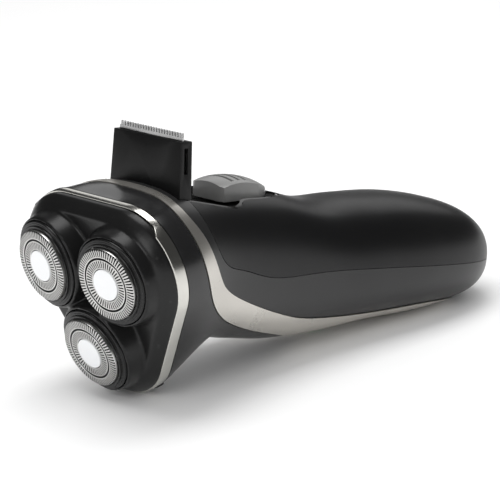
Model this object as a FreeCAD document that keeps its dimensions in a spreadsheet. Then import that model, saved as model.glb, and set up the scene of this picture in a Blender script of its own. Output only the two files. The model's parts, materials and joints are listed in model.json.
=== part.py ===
import FreeCAD, Part
import math
import os
import re
import Sketcher

# Three-head rotary shaver with a fold-out trimmer, lying on its front.
# Two working frames are used, in millimetres:
#   handle frame: X runs from the heads to the tail, Z points out of the back,
#                 and the origin is where the head axis meets the plane of the three guards;
#   head frame:   Z points out of the heads along the head axis, X points up the back.
# Each sub-part is drawn in one of them and carries it into place with its Placement.

Vector = FreeCAD.Vector
Rotation = FreeCAD.Rotation
Placement = FreeCAD.Placement

doc = FreeCAD.newDocument("RotaryShaver")
sheet = doc.addObject("Spreadsheet::Sheet", "Sizes")

# ---------------------------------------------------------------- sizes

sizes = {
    # handle form
    "handle_length": 152.0,
    "handle_width": 48.0,
    "shell_wall": 2.0,
    "seam_gap": 0.12,
    # head unit
    "head_tilt": 17.5,
    "head_spread": 16.76,
    "head_lean": 5.0,
    "lobe_distance": 15.0,
    "lobe_radius": 19.5,
    "cover_rim_depth": 11.2,
    "cover_top_depth": 7.8,
    "cover_wall": 1.6,
    "dome_top_radius": 13.85,
    "dome_top_depth": 2.5,
    "dome_foot_radius": 15.2,
    "ring_front_depth": 11.3,
    "ring_rear_depth": 15.0,
    "ring_wall": 1.2,
    "base_thickness": 1.6,
    "frame_plate_depth": 10.3,
    "frame_plate_thickness": 1.0,
    "neck_depth": 15.3,
    # one floating head
    "guard_radius": 10.8,
    "guard_height": 3.4,
    "guard_sheet": 0.45,
    "guard_flange": 0.7,
    "guard_float": 1.2,
    "groove_radius": 7.9,
    "groove_half_width": 0.3,
    "groove_depth": 0.7,
    "cap_radius": 4.7,
    "cap_rise": 0.35,
    "cap_seat_depth": 0.5,
    "cap_stem_radius": 3.0,
    "cap_stem_length": 1.3,
    "press_clearance": 0.04,
    "head_ring_radius": 13.16,
    "head_ring_pivot_depth": 4.5,
    "head_ring_top_depth": 1.9,
    "head_ring_foot_depth": 8.0,
    "head_ring_step": 0.4,
    "slide_clearance": 0.2,
    "seat_clearance": 0.3,
    "cutter_gap": 0.7,
    "cutter_disc_depth": 1.8,
    "cutter_disc": 0.7,
    "cutter_blade_top": 0.55,
    "cutter_blade": 0.6,
    "cutter_blades": 15,
    "cutter_hub_radius": 4.2,
    "cutter_hub_foot": 7.2,
    "socket_radius": 2.6,
    "socket_top": 3.3,
    # drive
    "spindle_spread": 16.2,
    "spindle_radius": 1.6,
    "spindle_neck_radius": 1.2,
    "spindle_tip_radius": 1.7,
    "spindle_tip_depth": 4.9,
    "spindle_tip_length": 1.5,
    "spindle_neck_foot": 9.0,
    "running_clearance": 0.05,
    "gear_teeth": 42,
    "pinion_teeth": 21,
    "gear_front_depth": 17.9,
    "gear_thickness": 2.5,
    "tooth_height": 0.45,
    "drive_plate_depth": 15.8,
    "drive_plate_thickness": 1.5,
    "drive_plate_distance": 14.0,
    "drive_plate_radius": 16.2,
    "gear_plate_depth": 21.0,
    "gear_plate_thickness": 1.8,
    "gear_plate_distance": 12.0,
    "gear_plate_radius": 13.6,
    "seal_wall": 0.9,
    "seal_height": 1.4,
    "motor_radius": 10.2,
    "motor_flat": 7.7,
    "motor_length": 24.0,
    "motor_wall": 0.9,
    "motor_shaft_radius": 1.0,
    "rotor_radius": 6.0,
    # trimmer
    "trimmer_pin_x": 25.55,
    "trimmer_pin_z": 28.0,
    "trimmer_pin_radius": 1.0,
    "trimmer_foot_width": 30.8,
    "trimmer_top_width": 29.2,
    "trimmer_height": 18.8,
    "trimmer_thickness": 4.5,
    "trimmer_slot_width": 28.2,
    "trimmer_slot_front": 0.8,
    "trimmer_slot_rear": 0.9,
    "trimmer_slot_foot": 7.0,
    "spring_gap": 10.0,
    "comb_sheet": 0.5,
    "comb_width": 27.6,
    "comb_rise": 2.4,
    "comb_teeth": 24,
    "comb_tooth_length": 1.3,
    "blade_width": 25.2,
    "blade_rise": 2.1,
    "blade_travel": 1.0,
    "bay_front": 22.5,
    "bay_floor": 25.2,
    "bay_wall": 0.9,
    "bay_side_clearance": 0.5,
    "switch_front": 48.2,
    "switch_length": 22.2,
    "switch_width": 14.8,
    "switch_travel": 3.5,
    "switch_foot": 25.9,
    "switch_slot_width": 5.6,
    # inside the handle
    "cell_share": 0.14375,  # radius as a share of the handle's width
    "cell_length": 50.0,
    "cell_gap": 0.6,
    "cell_start": 84.0,
    "chassis_start": 66.0,
    "chassis_wall": 1.2,
    "chassis_floor": -8.2,
    "chassis_height": 13.0,
    "board_start": 64.0,
    "board_length": 64.0,
    "board_width": 22.0,
    "board_thickness": 1.2,
    "board_bottom": -11.6,
    "button_x": 80.0,
    "button_length": 14.0,
    "button_width": 9.0,
    "button_face": -19.2,
    "button_rim": 1.0,
    "button_travel": 0.8,
    "lens_x": 97.0,
    "lens_radius": 1.6,
    "power_socket_radius": 3.9,
    "power_socket_bore": 2.9,
    "power_socket_depth": 9.0,
    "power_socket_floor": 2.0,
    "release_width": 16.0,
    "release_thickness": 3.2,
    "release_travel": 1.2,
    "release_depth": 15.7,
    "release_length": 2.7,
    "screw_radius": 1.0,
    "screw_head_radius": 1.9,
    "screw_length": 6.0,
}

# The handle's form: one row for each cross-section from the neck to the tail, with its place
# along the handle, its centre height and slant, its width as a share of the full width,
# its rise above and drop below the centre, its squareness, and how three-lobed it is.
section_columns = ("along", "height", "slant", "breadth", "rise", "drop", "square", "lobing")
sections = {
    "neck": (0.0, 4.60, 17.5, 1.250, 27.0, 30.0, 2.1, 1.0),
    "collar": (0.0388, 5.5, 15.5, 1.208, 28.6, 26.0, 2.45, 0.60),
    "shoulder": (0.1276, 7.0, 9.0, 1.065, 25.7, 21.5, 2.55, 0.10),
    "saddle": (0.2329, 6.3, 3.0, 0.962, 23.9, 22.5, 2.5, 0.0),
    "grip": (0.3513, 5.0, 0.0, 0.908, 22.5, 23.6, 2.4, 0.0),
    "waist": (0.4829, 3.3, 0.0, 0.900, 19.6, 22.0, 2.35, 0.0),
    "palm": (0.6145, 3.0, 0.0, 0.958, 19.4, 20.3, 2.35, 0.0),
    "heel": (0.7461, 2.6, 0.0, 1.000, 18.8, 19.3, 2.35, 0.0),
    "hip": (0.8645, 1.3, 0.0, 0.933, 16.8, 16.5, 2.35, 0.0),
    "tail": (0.9434, 0.1, 0.0, 0.735, 13.2, 13.2, 2.3, 0.0),
    "tip": (1.0, -1.0, 0.0, 0.375, 7.0, 7.0, 2.2, 0.0),
}

# The seams between the handle's panels, seen from the side: share of the handle's length,
# and height.
seams = {
    "cover_seam": ((0.066, 42.0), (0.075, 28.0), (0.098, 17.5), (0.130, 11.8), (0.190, 8.9),
                   (0.290, 4.9), (0.460, 4.1), (0.740, 1.7), (1.060, -1.8)),
    "trim_rear_seam": ((0.028, 42.0), (0.030, 30.0), (0.062, 20.6), (0.098, 9.8), (0.130, 4.6),
                       (0.196, -0.4), (0.300, -6.3), (0.390, -10.0), (0.500, -11.6),
                       (0.620, -12.1), (0.740, -11.6), (0.860, -12.6), (0.940, -16.0)),
    "trim_front_seam": ((0.002, 42.0), (0.006, 30.0), (0.028, 20.0), (0.053, 9.8), (0.076, 3.0),
                        (0.110, -2.2), (0.165, -6.7), (0.253, -11.6), (0.350, -15.6),
                        (0.440, -19.6), (0.520, -25.0)),
}

# Half plan of the opening for the folded trimmer and its switch: place along X and half width.
bay_outline = ((44.5, 15.9), (48.4, 13.9), (52.0, 11.6), (64.0, 9.2), (72.0, 5.0), (75.6, 0.0))


def fill_sheet():
    """Write every size into the sheet as a plain number with its alias."""
    rows = dict(sizes)
    for name, row in sections.items():
        for column, number in zip(section_columns, row):
            rows[name + "_" + column] = number
    for name, points in seams.items():
        for count, (along, height) in enumerate(points):
            rows[f"{name}_along_{count}_"] = along
            rows[f"{name}_height_{count}_"] = height
    for count, (along, half_width) in enumerate(bay_outline):
        rows[f"bay_along_{count}_"] = along
        rows[f"bay_half_{count}_"] = half_width
    for line, (name, number) in enumerate(rows.items(), start=1):
        sheet.set(f"A{line}", name)
        sheet.set(f"B{line}", str(number))
        sheet.setAlias(f"B{line}", name)
    doc.recompute()
    return set(rows)


aliases = fill_sheet()


def bound(text):
    """Turn size names in an expression into references to the sheet."""
    return re.sub(r"[a-z]\w*", lambda m: "Sizes." + m.group() if m.group() in aliases else m.group(), text)


def size(text):
    """The number that an expression of size names stands for."""
    return float(sheet.evalExpression(bound(str(text))))


def bind(item, name, text):
    item.setExpression(name, bound(str(text)))


# ---------------------------------------------------------------- frames

def head_frame():
    tilt = math.radians(size("head_tilt"))
    outward = Vector(-math.cos(tilt), 0, -math.sin(tilt))
    up = Vector(-math.sin(tilt), 0, math.cos(tilt))
    return Placement(Vector(0, 0, 0), Rotation(up, Vector(0, 1, 0), outward, "ZXY"))


def turned(angle):
    return Placement(Vector(0, 0, 0), Rotation(Vector(0, 0, 1), angle))


def shifted(x, y, z):
    return Placement(Vector(x, y, z), Rotation())


handle = Placement()
head = head_frame()
trimmer = shifted(size("trimmer_pin_x"), 0, size("trimmer_pin_z"))

# Two heads sit side by side below the back, and the third is nearest the front.
head_angles = {1: -60.0, 2: 60.0, 3: 180.0}


def pod_frame(angle):
    """The frame of one floating head, leaning outwards."""
    lean = Placement(Vector(0, 0, 0), Rotation(Vector(0, 1, 0), size("head_lean")))
    return head * turned(angle) * shifted(size("head_spread"), 0, 0) * lean


def spindle_frame(angle):
    return head * turned(angle) * shifted(size("spindle_spread"), 0, 0)


sub_parts = []


def finish(item, label, frame):
    """Name a sub-part and note the frame that carries it into place."""
    if item.TypeId in ("Part::Box", "Part::Cylinder"):
        item.Label = label + "_solid"
        item = group(label + "_sub_part", [item])
    item.Label = label
    sub_parts.append((item, frame))
    return item


# ---------------------------------------------------------------- drawing helpers

def plane_of(body, role):
    for feature in body.Origin.OriginFeatures:
        if feature.Role == role:
            return feature
    raise RuntimeError("no origin plane " + role)


def new_sketch(body, name, role, offset="0"):
    sketch = body.newObject("Sketcher::SketchObject", name)
    sketch.AttachmentSupport = [(plane_of(body, role), "")]
    sketch.MapMode = "FlatFace"
    bind(sketch, "AttachmentOffset.Base.z", offset)
    return sketch


def draw_outline(sketch, points):
    """A closed outline whose corners are tied to the sheet."""
    corners = [Vector(size(x), size(y), 0) for x, y in points]
    first = sketch.GeometryCount
    for count, corner in enumerate(corners):
        sketch.addGeometry(Part.LineSegment(corner, corners[(count + 1) % len(corners)]))
    for count in range(len(corners)):
        following = first + (count + 1) % len(corners)
        sketch.addConstraint(Sketcher.Constraint("Coincident", first + count, 2, following, 1))
    for count, (x, y) in enumerate(points):
        for kind, text in (("DistanceX", x), ("DistanceY", y)):
            constraint = Sketcher.Constraint(kind, -1, 1, first + count, 1, size(text))
            index = sketch.addConstraint(constraint)
            bind(sketch, f"Constraints[{index}]", text)


def new_body(name):
    return doc.addObject("PartDesign::Body", name)


def revolved(name, points):
    """A body of revolution about Z from an outline of (radius, height) corners."""
    body = new_body(name)
    sketch = new_sketch(body, name + "_outline", "XZ_Plane")
    draw_outline(sketch, points)
    feature = body.newObject("PartDesign::Revolution", name + "_turn")
    feature.Profile = sketch
    feature.ReferenceAxis = (sketch, ["V_Axis"])
    feature.Angle = 360
    return body


def padded(name, points, base, height, role="XY_Plane"):
    """A flat body: an outline of (x, y) corners raised from one height."""
    body = new_body(name)
    sketch = new_sketch(body, name + "_outline", role, base)
    draw_outline(sketch, points)
    feature = body.newObject("PartDesign::Pad", name + "_pad")
    feature.Profile = sketch
    bind(feature, "Length", height)
    return body


def repeated(body, name, points, base, height, count, reach="360", kind="PartDesign::PolarPattern"):
    """Add one padded feature to a body and repeat it round Z, or along Y."""
    sketch = new_sketch(body, name + "_outline", "XY_Plane", base)
    draw_outline(sketch, points)
    feature = body.newObject("PartDesign::Pad", name + "_pad")
    feature.Profile = sketch
    bind(feature, "Length", height)
    pattern = body.newObject(kind, name + "_pattern")
    pattern.Originals = [feature]
    if kind.endswith("PolarPattern"):
        pattern.Axis = (sketch, ["N_Axis"])
        bind(pattern, "Angle", reach)
    else:
        pattern.Direction = (sketch, ["V_Axis"])
        bind(pattern, "Length", reach)
    bind(pattern, "Occurrences", count)
    body.Tip = pattern


def place(item, corner):
    for letter, text in zip("xyz", corner):
        bind(item, "Placement.Base." + letter, text)


def cylinder(name, radius, height, at=("0", "0", "0"), along="Z"):
    item = doc.addObject("Part::Cylinder", name)
    bind(item, "Radius", radius)
    bind(item, "Height", height)
    turns = {"Z": Rotation(), "X": Rotation(Vector(0, 1, 0), 90), "Y": Rotation(Vector(1, 0, 0), -90)}
    item.Placement = Placement(Vector(0, 0, 0), turns[along])
    place(item, at)
    return item


def block(name, x, y, z):
    """A box given by its limits along each axis."""
    item = doc.addObject("Part::Box", name)
    for side, limits in zip(("Length", "Width", "Height"), (x, y, z)):
        bind(item, side, f"({limits[1]}) - ({limits[0]})")
    place(item, (x[0], y[0], z[0]))
    return item


def across(half):
    """Limits that reach the same distance to each side of the middle."""
    return (f"-({half})", half)


def cut(name, base, *tools):
    item = doc.addObject("Part::Cut", name)
    item.Base = base
    item.Tool = tools[0] if len(tools) == 1 else fuse(name + "_tools", *tools)
    return item


def fuse(name, *pieces):
    item = doc.addObject("Part::MultiFuse", name)
    item.Shapes = list(pieces)
    return item


def common(name, *pieces):
    item = doc.addObject("Part::MultiCommon", name)
    item.Shapes = list(pieces)
    return item


def group(name, pieces):
    """Identical separate solids that share one node."""
    item = doc.addObject("Part::Compound", name)
    item.Links = pieces
    return item


def lobed_plate(name, distance, radius, base, height):
    """A plate whose outline is three equal round lobes joined by straight tangents."""
    body = new_body(name)
    sketch = new_sketch(body, name + "_outline", "XY_Plane", base)
    away = size(distance)
    round_off = size(radius)
    for lobe in range(3):
        middle = math.radians(60 + 120 * lobe)
        centre = Vector(away * math.cos(middle), away * math.sin(middle), 0)
        circle = Part.Circle(centre, Vector(0, 0, 1), round_off)
        third = math.radians(60)
        sketch.addGeometry(Part.ArcOfCircle(circle, middle - third, middle + third))
    for lobe in range(3):
        start = sketch.getPoint(lobe, 2)
        end = sketch.getPoint((lobe + 1) % 3, 1)
        sketch.addGeometry(Part.LineSegment(start, end))
    for lobe in range(3):
        following = (lobe + 1) % 3
        sketch.addConstraint(Sketcher.Constraint("Tangent", lobe, 2, 3 + lobe, 1))
        sketch.addConstraint(Sketcher.Constraint("Tangent", 3 + lobe, 2, following, 1))
    for lobe in range(3):
        middle = 60 + 120 * lobe
        index = sketch.addConstraint(Sketcher.Constraint("Radius", lobe, round_off))
        bind(sketch, f"Constraints[{index}]", radius)
        for kind, turn in (("DistanceX", "cos"), ("DistanceY", "sin")):
            text = f"({distance}) * {turn}({middle} deg)"
            index = sketch.addConstraint(Sketcher.Constraint(kind, -1, 1, lobe, 3, size(text)))
            bind(sketch, f"Constraints[{index}]", text)
    feature = body.newObject("PartDesign::Pad", name + "_pad")
    feature.Profile = sketch
    bind(feature, "Length", height)
    return body


def three_at(name, angles, spread, make):
    """Three copies of a primitive round the head axis."""
    pieces = []
    for number, angle in angles.items():
        x = f"({spread}) * cos({angle} deg)"
        y = f"({spread}) * sin({angle} deg)"
        pieces.append(make(f"{name}_{number}", x, y))
    return pieces


def free_form(name, shape):
    item = doc.addObject("Part::Feature", name)
    item.Shape = shape
    return item


# ---------------------------------------------------------------- floating heads

def make_guard(number, frame):
    """Steel guard: a dished disc with two hair tracks, a skirt and a retaining flange."""
    name = f"guard_{number}"
    inner_edge = "cap_radius + press_clearance * 2"
    seat = "-cap_seat_depth"
    points = [
        ("cap_stem_radius + press_clearance", f"{seat} - guard_sheet"),
        ("cap_stem_radius + press_clearance", seat),
        (inner_edge, seat),
        (inner_edge, "0"),
        ("groove_radius - groove_half_width", "0"),
        ("groove_radius - groove_half_width", "-groove_depth"),
        ("groove_radius + groove_half_width", "-groove_depth"),
        ("groove_radius + groove_half_width", "0"),
        ("guard_radius - guard_sheet * 0.8", "0"),
        ("guard_radius", "-guard_sheet * 0.8"),
        ("guard_radius", "guard_flange - guard_height"),
        ("guard_radius + guard_flange", "guard_flange - guard_height"),
        ("guard_radius + guard_flange", "-guard_height"),
        ("guard_radius - guard_sheet", "-guard_height"),
        ("guard_radius - guard_sheet", "-guard_sheet"),
        ("groove_radius + groove_half_width + guard_sheet", "-guard_sheet"),
        ("groove_radius + groove_half_width + guard_sheet", "-groove_depth - guard_sheet"),
        ("groove_radius - groove_half_width - guard_sheet", "-groove_depth - guard_sheet"),
        ("groove_radius - groove_half_width - guard_sheet", "-guard_sheet"),
        (f"{inner_edge} + guard_sheet", "-guard_sheet"),
        (f"{inner_edge} + guard_sheet", f"{seat} - guard_sheet"),
    ]
    finish(revolved(name, points), name, frame)


def make_guard_cap(number, frame):
    """Blank white cap pressed into the middle of the guard."""
    name = f"guard_cap_{number}"
    seat = "press_clearance - cap_seat_depth"
    points = [
        ("0", f"{seat} - cap_stem_length"),
        ("cap_stem_radius", f"{seat} - cap_stem_length"),
        ("cap_stem_radius", seat),
        ("cap_radius", seat),
        ("cap_radius", "cap_rise * 0.3"),
        ("cap_radius - cap_rise", "cap_rise"),
        ("0", "cap_rise"),
    ]
    finish(revolved(name, points), name, frame)


def make_head_ring(number, frame):
    """Tilting surround of one head: stepped lip, round outer face and skirt."""
    name = f"head_ring_{number}"
    body = new_body(name)
    sketch = new_sketch(body, name + "_outline", "XZ_Plane")
    bore = "guard_radius + slide_clearance"
    chamber = "guard_radius + guard_flange + slide_clearance * 2"
    lip_foot = "guard_flange - guard_height + seat_clearance"
    skirt = "head_ring_radius - slide_clearance"
    top_radius = math.sqrt(size("head_ring_radius") ** 2
                           - size("head_ring_pivot_depth - head_ring_top_depth") ** 2)
    points = [
        (skirt, "-head_ring_pivot_depth"),
        (skirt, "-head_ring_foot_depth"),
        (chamber, "-head_ring_foot_depth"),
        (chamber, lip_foot),
        (bore, lip_foot),
        (bore, "head_ring_step - head_ring_top_depth + 0.4"),
        (f"{bore} + head_ring_step * 1.6", "head_ring_step - head_ring_top_depth + 0.4"),
        (f"{bore} + head_ring_step * 2.0", "head_ring_step * 0.5 - head_ring_top_depth"),
        (f"{bore} + head_ring_step * 3.2", "head_ring_step * 0.5 - head_ring_top_depth"),
        (f"{bore} + head_ring_step * 3.6", "-head_ring_top_depth"),
        (str(top_radius), "-head_ring_top_depth"),
    ]
    corners = [Vector(size(x), size(y), 0) for x, y in points]
    for start, end in zip(corners, corners[1:]):
        sketch.addGeometry(Part.LineSegment(start, end))
    for count in range(len(corners) - 2):
        sketch.addConstraint(Sketcher.Constraint("Coincident", count, 2, count + 1, 1))
    pivot = Vector(0, -size("head_ring_pivot_depth"), 0)
    circle = Part.Circle(pivot, Vector(0, 0, 1), size("head_ring_radius"))
    rise = math.acos(top_radius / size("head_ring_radius"))
    arc = sketch.addGeometry(Part.ArcOfCircle(circle, 0, rise))
    step = sketch.addGeometry(Part.LineSegment(Vector(size("head_ring_radius"), pivot.y, 0), corners[0]))
    last = len(corners) - 2
    sketch.addConstraint(Sketcher.Constraint("Coincident", last, 2, arc, 2))
    sketch.addConstraint(Sketcher.Constraint("Coincident", arc, 1, step, 1))
    sketch.addConstraint(Sketcher.Constraint("Coincident", step, 2, 0, 1))
    for count, (x, y) in enumerate(points[:-1]):
        for kind, text in (("DistanceX", x), ("DistanceY", y)):
            index = sketch.addConstraint(Sketcher.Constraint(kind, -1, 1, count, 1, size(text)))
            bind(sketch, f"Constraints[{index}]", text)
    for kind, geometry, point, text in (
        ("DistanceY", last, 2, "-head_ring_top_depth"),
        ("DistanceX", arc, 3, "0"),
        ("DistanceY", arc, 3, "-head_ring_pivot_depth"),
        ("DistanceX", step, 1, "head_ring_radius"),
        ("DistanceY", step, 1, "-head_ring_pivot_depth"),
    ):
        constraint = Sketcher.Constraint(kind, -1, 1, geometry, point, size(text))
        index = sketch.addConstraint(constraint)
        bind(sketch, f"Constraints[{index}]", text)
    feature = body.newObject("PartDesign::Revolution", name + "_turn")
    feature.Profile = sketch
    feature.ReferenceAxis = (sketch, ["V_Axis"])
    feature.Angle = 360
    finish(body, name, frame)


def make_cutter(number, frame):
    """Spinning cutter: a disc with a hub, a drive socket and two rings of blades."""
    name = f"cutter_{number}"
    top = "-cutter_disc_depth"
    body = revolved(name, [
        ("0", top),
        ("0", "-socket_top"),
        ("socket_radius", "-socket_top"),
        ("socket_radius", "-cutter_hub_foot"),
        ("cutter_hub_radius", "-cutter_hub_foot"),
        ("cutter_hub_radius", "-cutter_disc_depth - cutter_disc"),
        ("guard_radius - cutter_gap", "-cutter_disc_depth - cutter_disc"),
        ("guard_radius - cutter_gap", top),
    ])
    half = "cutter_blade * 0.5"
    rings = {
        "inner": ("cap_radius + guard_sheet + 0.3", "groove_radius - groove_half_width - guard_sheet - 0.2"),
        "outer": ("groove_radius + groove_half_width + guard_sheet + 0.2", "guard_radius - cutter_gap"),
    }
    sunk = "cutter_disc * 0.5"
    for ring, (start, end) in rings.items():
        corners = [(start, f"-{half}"), (end, f"-{half}"), (end, half), (start, half)]
        reach = f"cutter_disc_depth + {sunk} - cutter_blade_top"
        repeated(body, f"{name}_{ring}", corners, f"-cutter_disc_depth - {sunk}", reach, "cutter_blades")
    finish(body, name, frame)


# ---------------------------------------------------------------- head unit

def lobed_wire(distance, radius, z):
    """Outline of three round lobes joined by tangents, at one height in the head frame."""
    edges = []
    corners = []
    for lobe in range(3):
        middle = math.radians(60 + 120 * lobe)
        centre = Vector(distance * math.cos(middle), distance * math.sin(middle), z)
        ends = []
        for turn in (-60, 0, 60):
            angle = middle + math.radians(turn)
            ends.append(centre + Vector(radius * math.cos(angle), radius * math.sin(angle), 0))
        edges.append(Part.Arc(*ends).toShape())
        corners.append(ends)
    wire = []
    for lobe in range(3):
        wire.append(edges[lobe])
        wire.append(Part.makeLine(corners[lobe][2], corners[(lobe + 1) % 3][0]))
    return Part.Wire(wire)


def make_head_cover():
    """Black cover of the head unit: a three-lobed base with a dome round each head."""
    distance = size("lobe_distance")
    rim_radius = size("lobe_radius - 0.5")
    top_radius = size("dome_foot_radius + 0.3")
    rim = -size("cover_rim_depth")
    top = -size("cover_top_depth")
    spread = size("head_spread - 0.6")
    cover_wall = size("cover_wall")
    outer = Part.makeLoft([lobed_wire(distance, rim_radius, rim),
                           lobed_wire(spread, top_radius, top)], True, True)
    cavity_roof = top - cover_wall
    cavity = Part.makeLoft([lobed_wire(distance, rim_radius - cover_wall, rim - 1.0),
                            lobed_wire(spread, top_radius - cover_wall * 1.4, cavity_roof)], True, True)
    dome_foot = size("dome_foot_radius")
    dome_top = size("dome_top_radius")
    dome_depth = size("dome_top_depth")
    seat_radius = size("head_ring_radius + seat_clearance")
    pivot = size("head_ring_pivot_depth")
    seats = []
    domes = []
    for angle in head_angles.values():
        to_head = head.inverse() * pod_frame(angle)
        dome = Part.makeCone(dome_foot, dome_top, 9.0 - dome_depth, Vector(0, 0, -9.0))
        dome.Placement = to_head
        domes.append(dome)
        throat = Part.makeCylinder(seat_radius, 12.0 - pivot, Vector(0, 0, -12.0))
        ball = Part.makeSphere(seat_radius, Vector(0, 0, -pivot))
        seat = throat.fuse(ball)
        seat.Placement = to_head
        seats.append(seat)
    shape = outer.fuse(domes).cut([cavity] + seats).removeSplitter()
    item = free_form("head_cover", shape.Solids[0])
    finish(item, "head_cover", head)


def make_chrome_ring():
    """Bright band round the foot of the head unit, with a bevelled front edge."""
    outer = lobed_plate("ring_outer", "lobe_distance", "lobe_radius", "-ring_rear_depth",
                        "ring_rear_depth - ring_front_depth")
    inner = lobed_plate("ring_inner", "lobe_distance", "lobe_radius - ring_wall",
                        "-ring_rear_depth - 1", "ring_rear_depth - ring_front_depth + 2")
    finish(cut("chrome_ring", outer, inner), "chrome_ring", head)


def make_head_base():
    """Rear plate of the hair chamber, with a hole round each drive spindle."""
    gap = "press_clearance * 2"
    outer = lobed_plate("base_outer", "lobe_distance", f"lobe_radius - ring_wall - {gap}",
                        "-ring_rear_depth", "ring_rear_depth - frame_plate_depth - 1.8")
    inner = lobed_plate("base_inner", "lobe_distance", f"lobe_radius - ring_wall * 2 - {gap}",
                        "base_thickness - ring_rear_depth", "10")
    holes = three_at("base_hole", head_angles, "spindle_spread",
                     lambda name, x, y: cylinder(name, "spindle_radius + seal_wall + 0.8", "20",
                                                 (x, y, "-25")))
    finish(cut("head_base", outer, inner, *holes), "head_base", head)


def make_retaining_frame():
    """Plate that keeps the three heads in the cover."""
    top = "-frame_plate_depth"
    plate = lobed_plate("frame_plate", "lobe_distance - 1", "lobe_radius - cover_wall * 2 - 1.6",
                        "-frame_plate_depth - frame_plate_thickness", "frame_plate_thickness")
    holes = three_at("frame_hole", head_angles, "spindle_spread",
                     lambda name, x, y: cylinder(name, "guard_radius - 1", "20", (x, y, "-20")))
    hub = cylinder("frame_hub", "3", "0.7", ("0", "0", top))
    finish(cut("retaining_frame", fuse("frame_body", plate, hub), *holes), "retaining_frame", head)


# ---------------------------------------------------------------- drive

def gear_centre_share(teeth):
    return f"spindle_spread * {teeth} / (gear_teeth + pinion_teeth)"


def add_teeth(body, name, pitch_radius, teeth, base, height):
    """Straight-flanked teeth, narrow enough to run free in their partner's gaps."""
    half_root = f"3.1416 * ({pitch_radius}) / {teeth} * 0.40"
    half_tip = f"3.1416 * ({pitch_radius}) / {teeth} * 0.22"
    root = f"{pitch_radius} - tooth_height - 0.4"
    tip = f"{pitch_radius} + tooth_height"
    points = [(root, f"-({half_root})"), (tip, f"-({half_tip})"), (tip, half_tip), (root, half_root)]
    repeated(body, name + "_tooth", points, base, height, teeth)


def make_drive_gear(number, angle):
    """Driven gear of one spindle, turned so that it is in mesh with the pinion."""
    name = f"drive_gear_{number}"
    pitch = gear_centre_share("gear_teeth")
    rim = f"{pitch} - tooth_height - 0.1"
    foot = "-gear_front_depth - gear_thickness"
    body = revolved(name, [
        ("spindle_radius + press_clearance", foot),
        (rim, foot),
        (rim, "-gear_front_depth"),
        ("spindle_radius + press_clearance", "-gear_front_depth"),
    ])
    add_teeth(body, name, pitch, "gear_teeth", foot, "gear_thickness")
    pinion_phase = angle / 360.0 * size("pinion_teeth")
    mesh_turn = angle + 180.0 - (0.5 - pinion_phase) * 360.0 / size("gear_teeth")
    finish(body, name, spindle_frame(angle) * turned(mesh_turn - angle))


def make_drive_spindle(number, angle):
    """Steel spindle with a ball-ended tip that turns one cutter."""
    name = f"drive_spindle_{number}"
    tip = "-spindle_tip_depth"
    tip_foot = "-spindle_tip_depth - spindle_tip_length"
    foot = "-gear_plate_depth - gear_plate_thickness + 0.4"
    body = revolved(name, [
        ("0", foot),
        ("spindle_radius", foot),
        ("spindle_radius", "-spindle_neck_foot"),
        ("spindle_neck_radius", "0.6 - spindle_neck_foot"),
        ("spindle_neck_radius", tip_foot),
        ("spindle_tip_radius", f"{tip_foot} + 0.4"),
        ("spindle_tip_radius", f"{tip} - 0.4"),
        ("spindle_tip_radius - 0.5", tip),
        ("0", tip),
    ])
    finish(body, name, spindle_frame(angle))


def make_drive_plate():
    """Front bulkhead of the neck, which the three spindles pass through."""
    plate = lobed_plate("drive_plate_outer", "drive_plate_distance", "drive_plate_radius",
                        "-drive_plate_depth - drive_plate_thickness", "drive_plate_thickness")
    holes = three_at("drive_plate_hole", head_angles, "spindle_spread",
                     lambda name, x, y: cylinder(name, "spindle_radius + running_clearance", "20",
                                                 (x, y, "-25")))
    finish(cut("drive_plate", plate, *holes), "drive_plate", head)


def make_spindle_seals():
    """Rubber lip seal round each spindle, in front of the bulkhead."""
    pieces = []
    for number, angle in head_angles.items():
        x = f"spindle_spread * cos({angle} deg)"
        y = f"spindle_spread * sin({angle} deg)"
        foot = "-drive_plate_depth"
        outer = cylinder(f"seal_outer_{number}", "spindle_radius + seal_wall", "seal_height", (x, y, foot))
        inner = cylinder(f"seal_inner_{number}", "spindle_radius + running_clearance",
                         "seal_height + 2", (x, y, f"{foot} - 1"))
        pieces.append(cut(f"seal_{number}", outer, inner))
    finish(group("spindle_seals", pieces), "spindle_seals", head)


def make_gear_plate():
    """Rear bulkhead of the gear case, which carries the motor."""
    plate = lobed_plate("gear_plate_outer", "gear_plate_distance", "gear_plate_radius",
                        "-gear_plate_depth - gear_plate_thickness", "gear_plate_thickness")
    holes = three_at("gear_plate_hole", head_angles, "spindle_spread",
                     lambda name, x, y: cylinder(name, "spindle_radius + running_clearance", "20",
                                                 (x, y, "-30")))
    centre = cylinder("gear_plate_centre", "motor_shaft_radius + 0.8", "20", ("0", "0", "-30"))
    finish(cut("gear_plate", plate, centre, *holes), "gear_plate", head)


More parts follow.
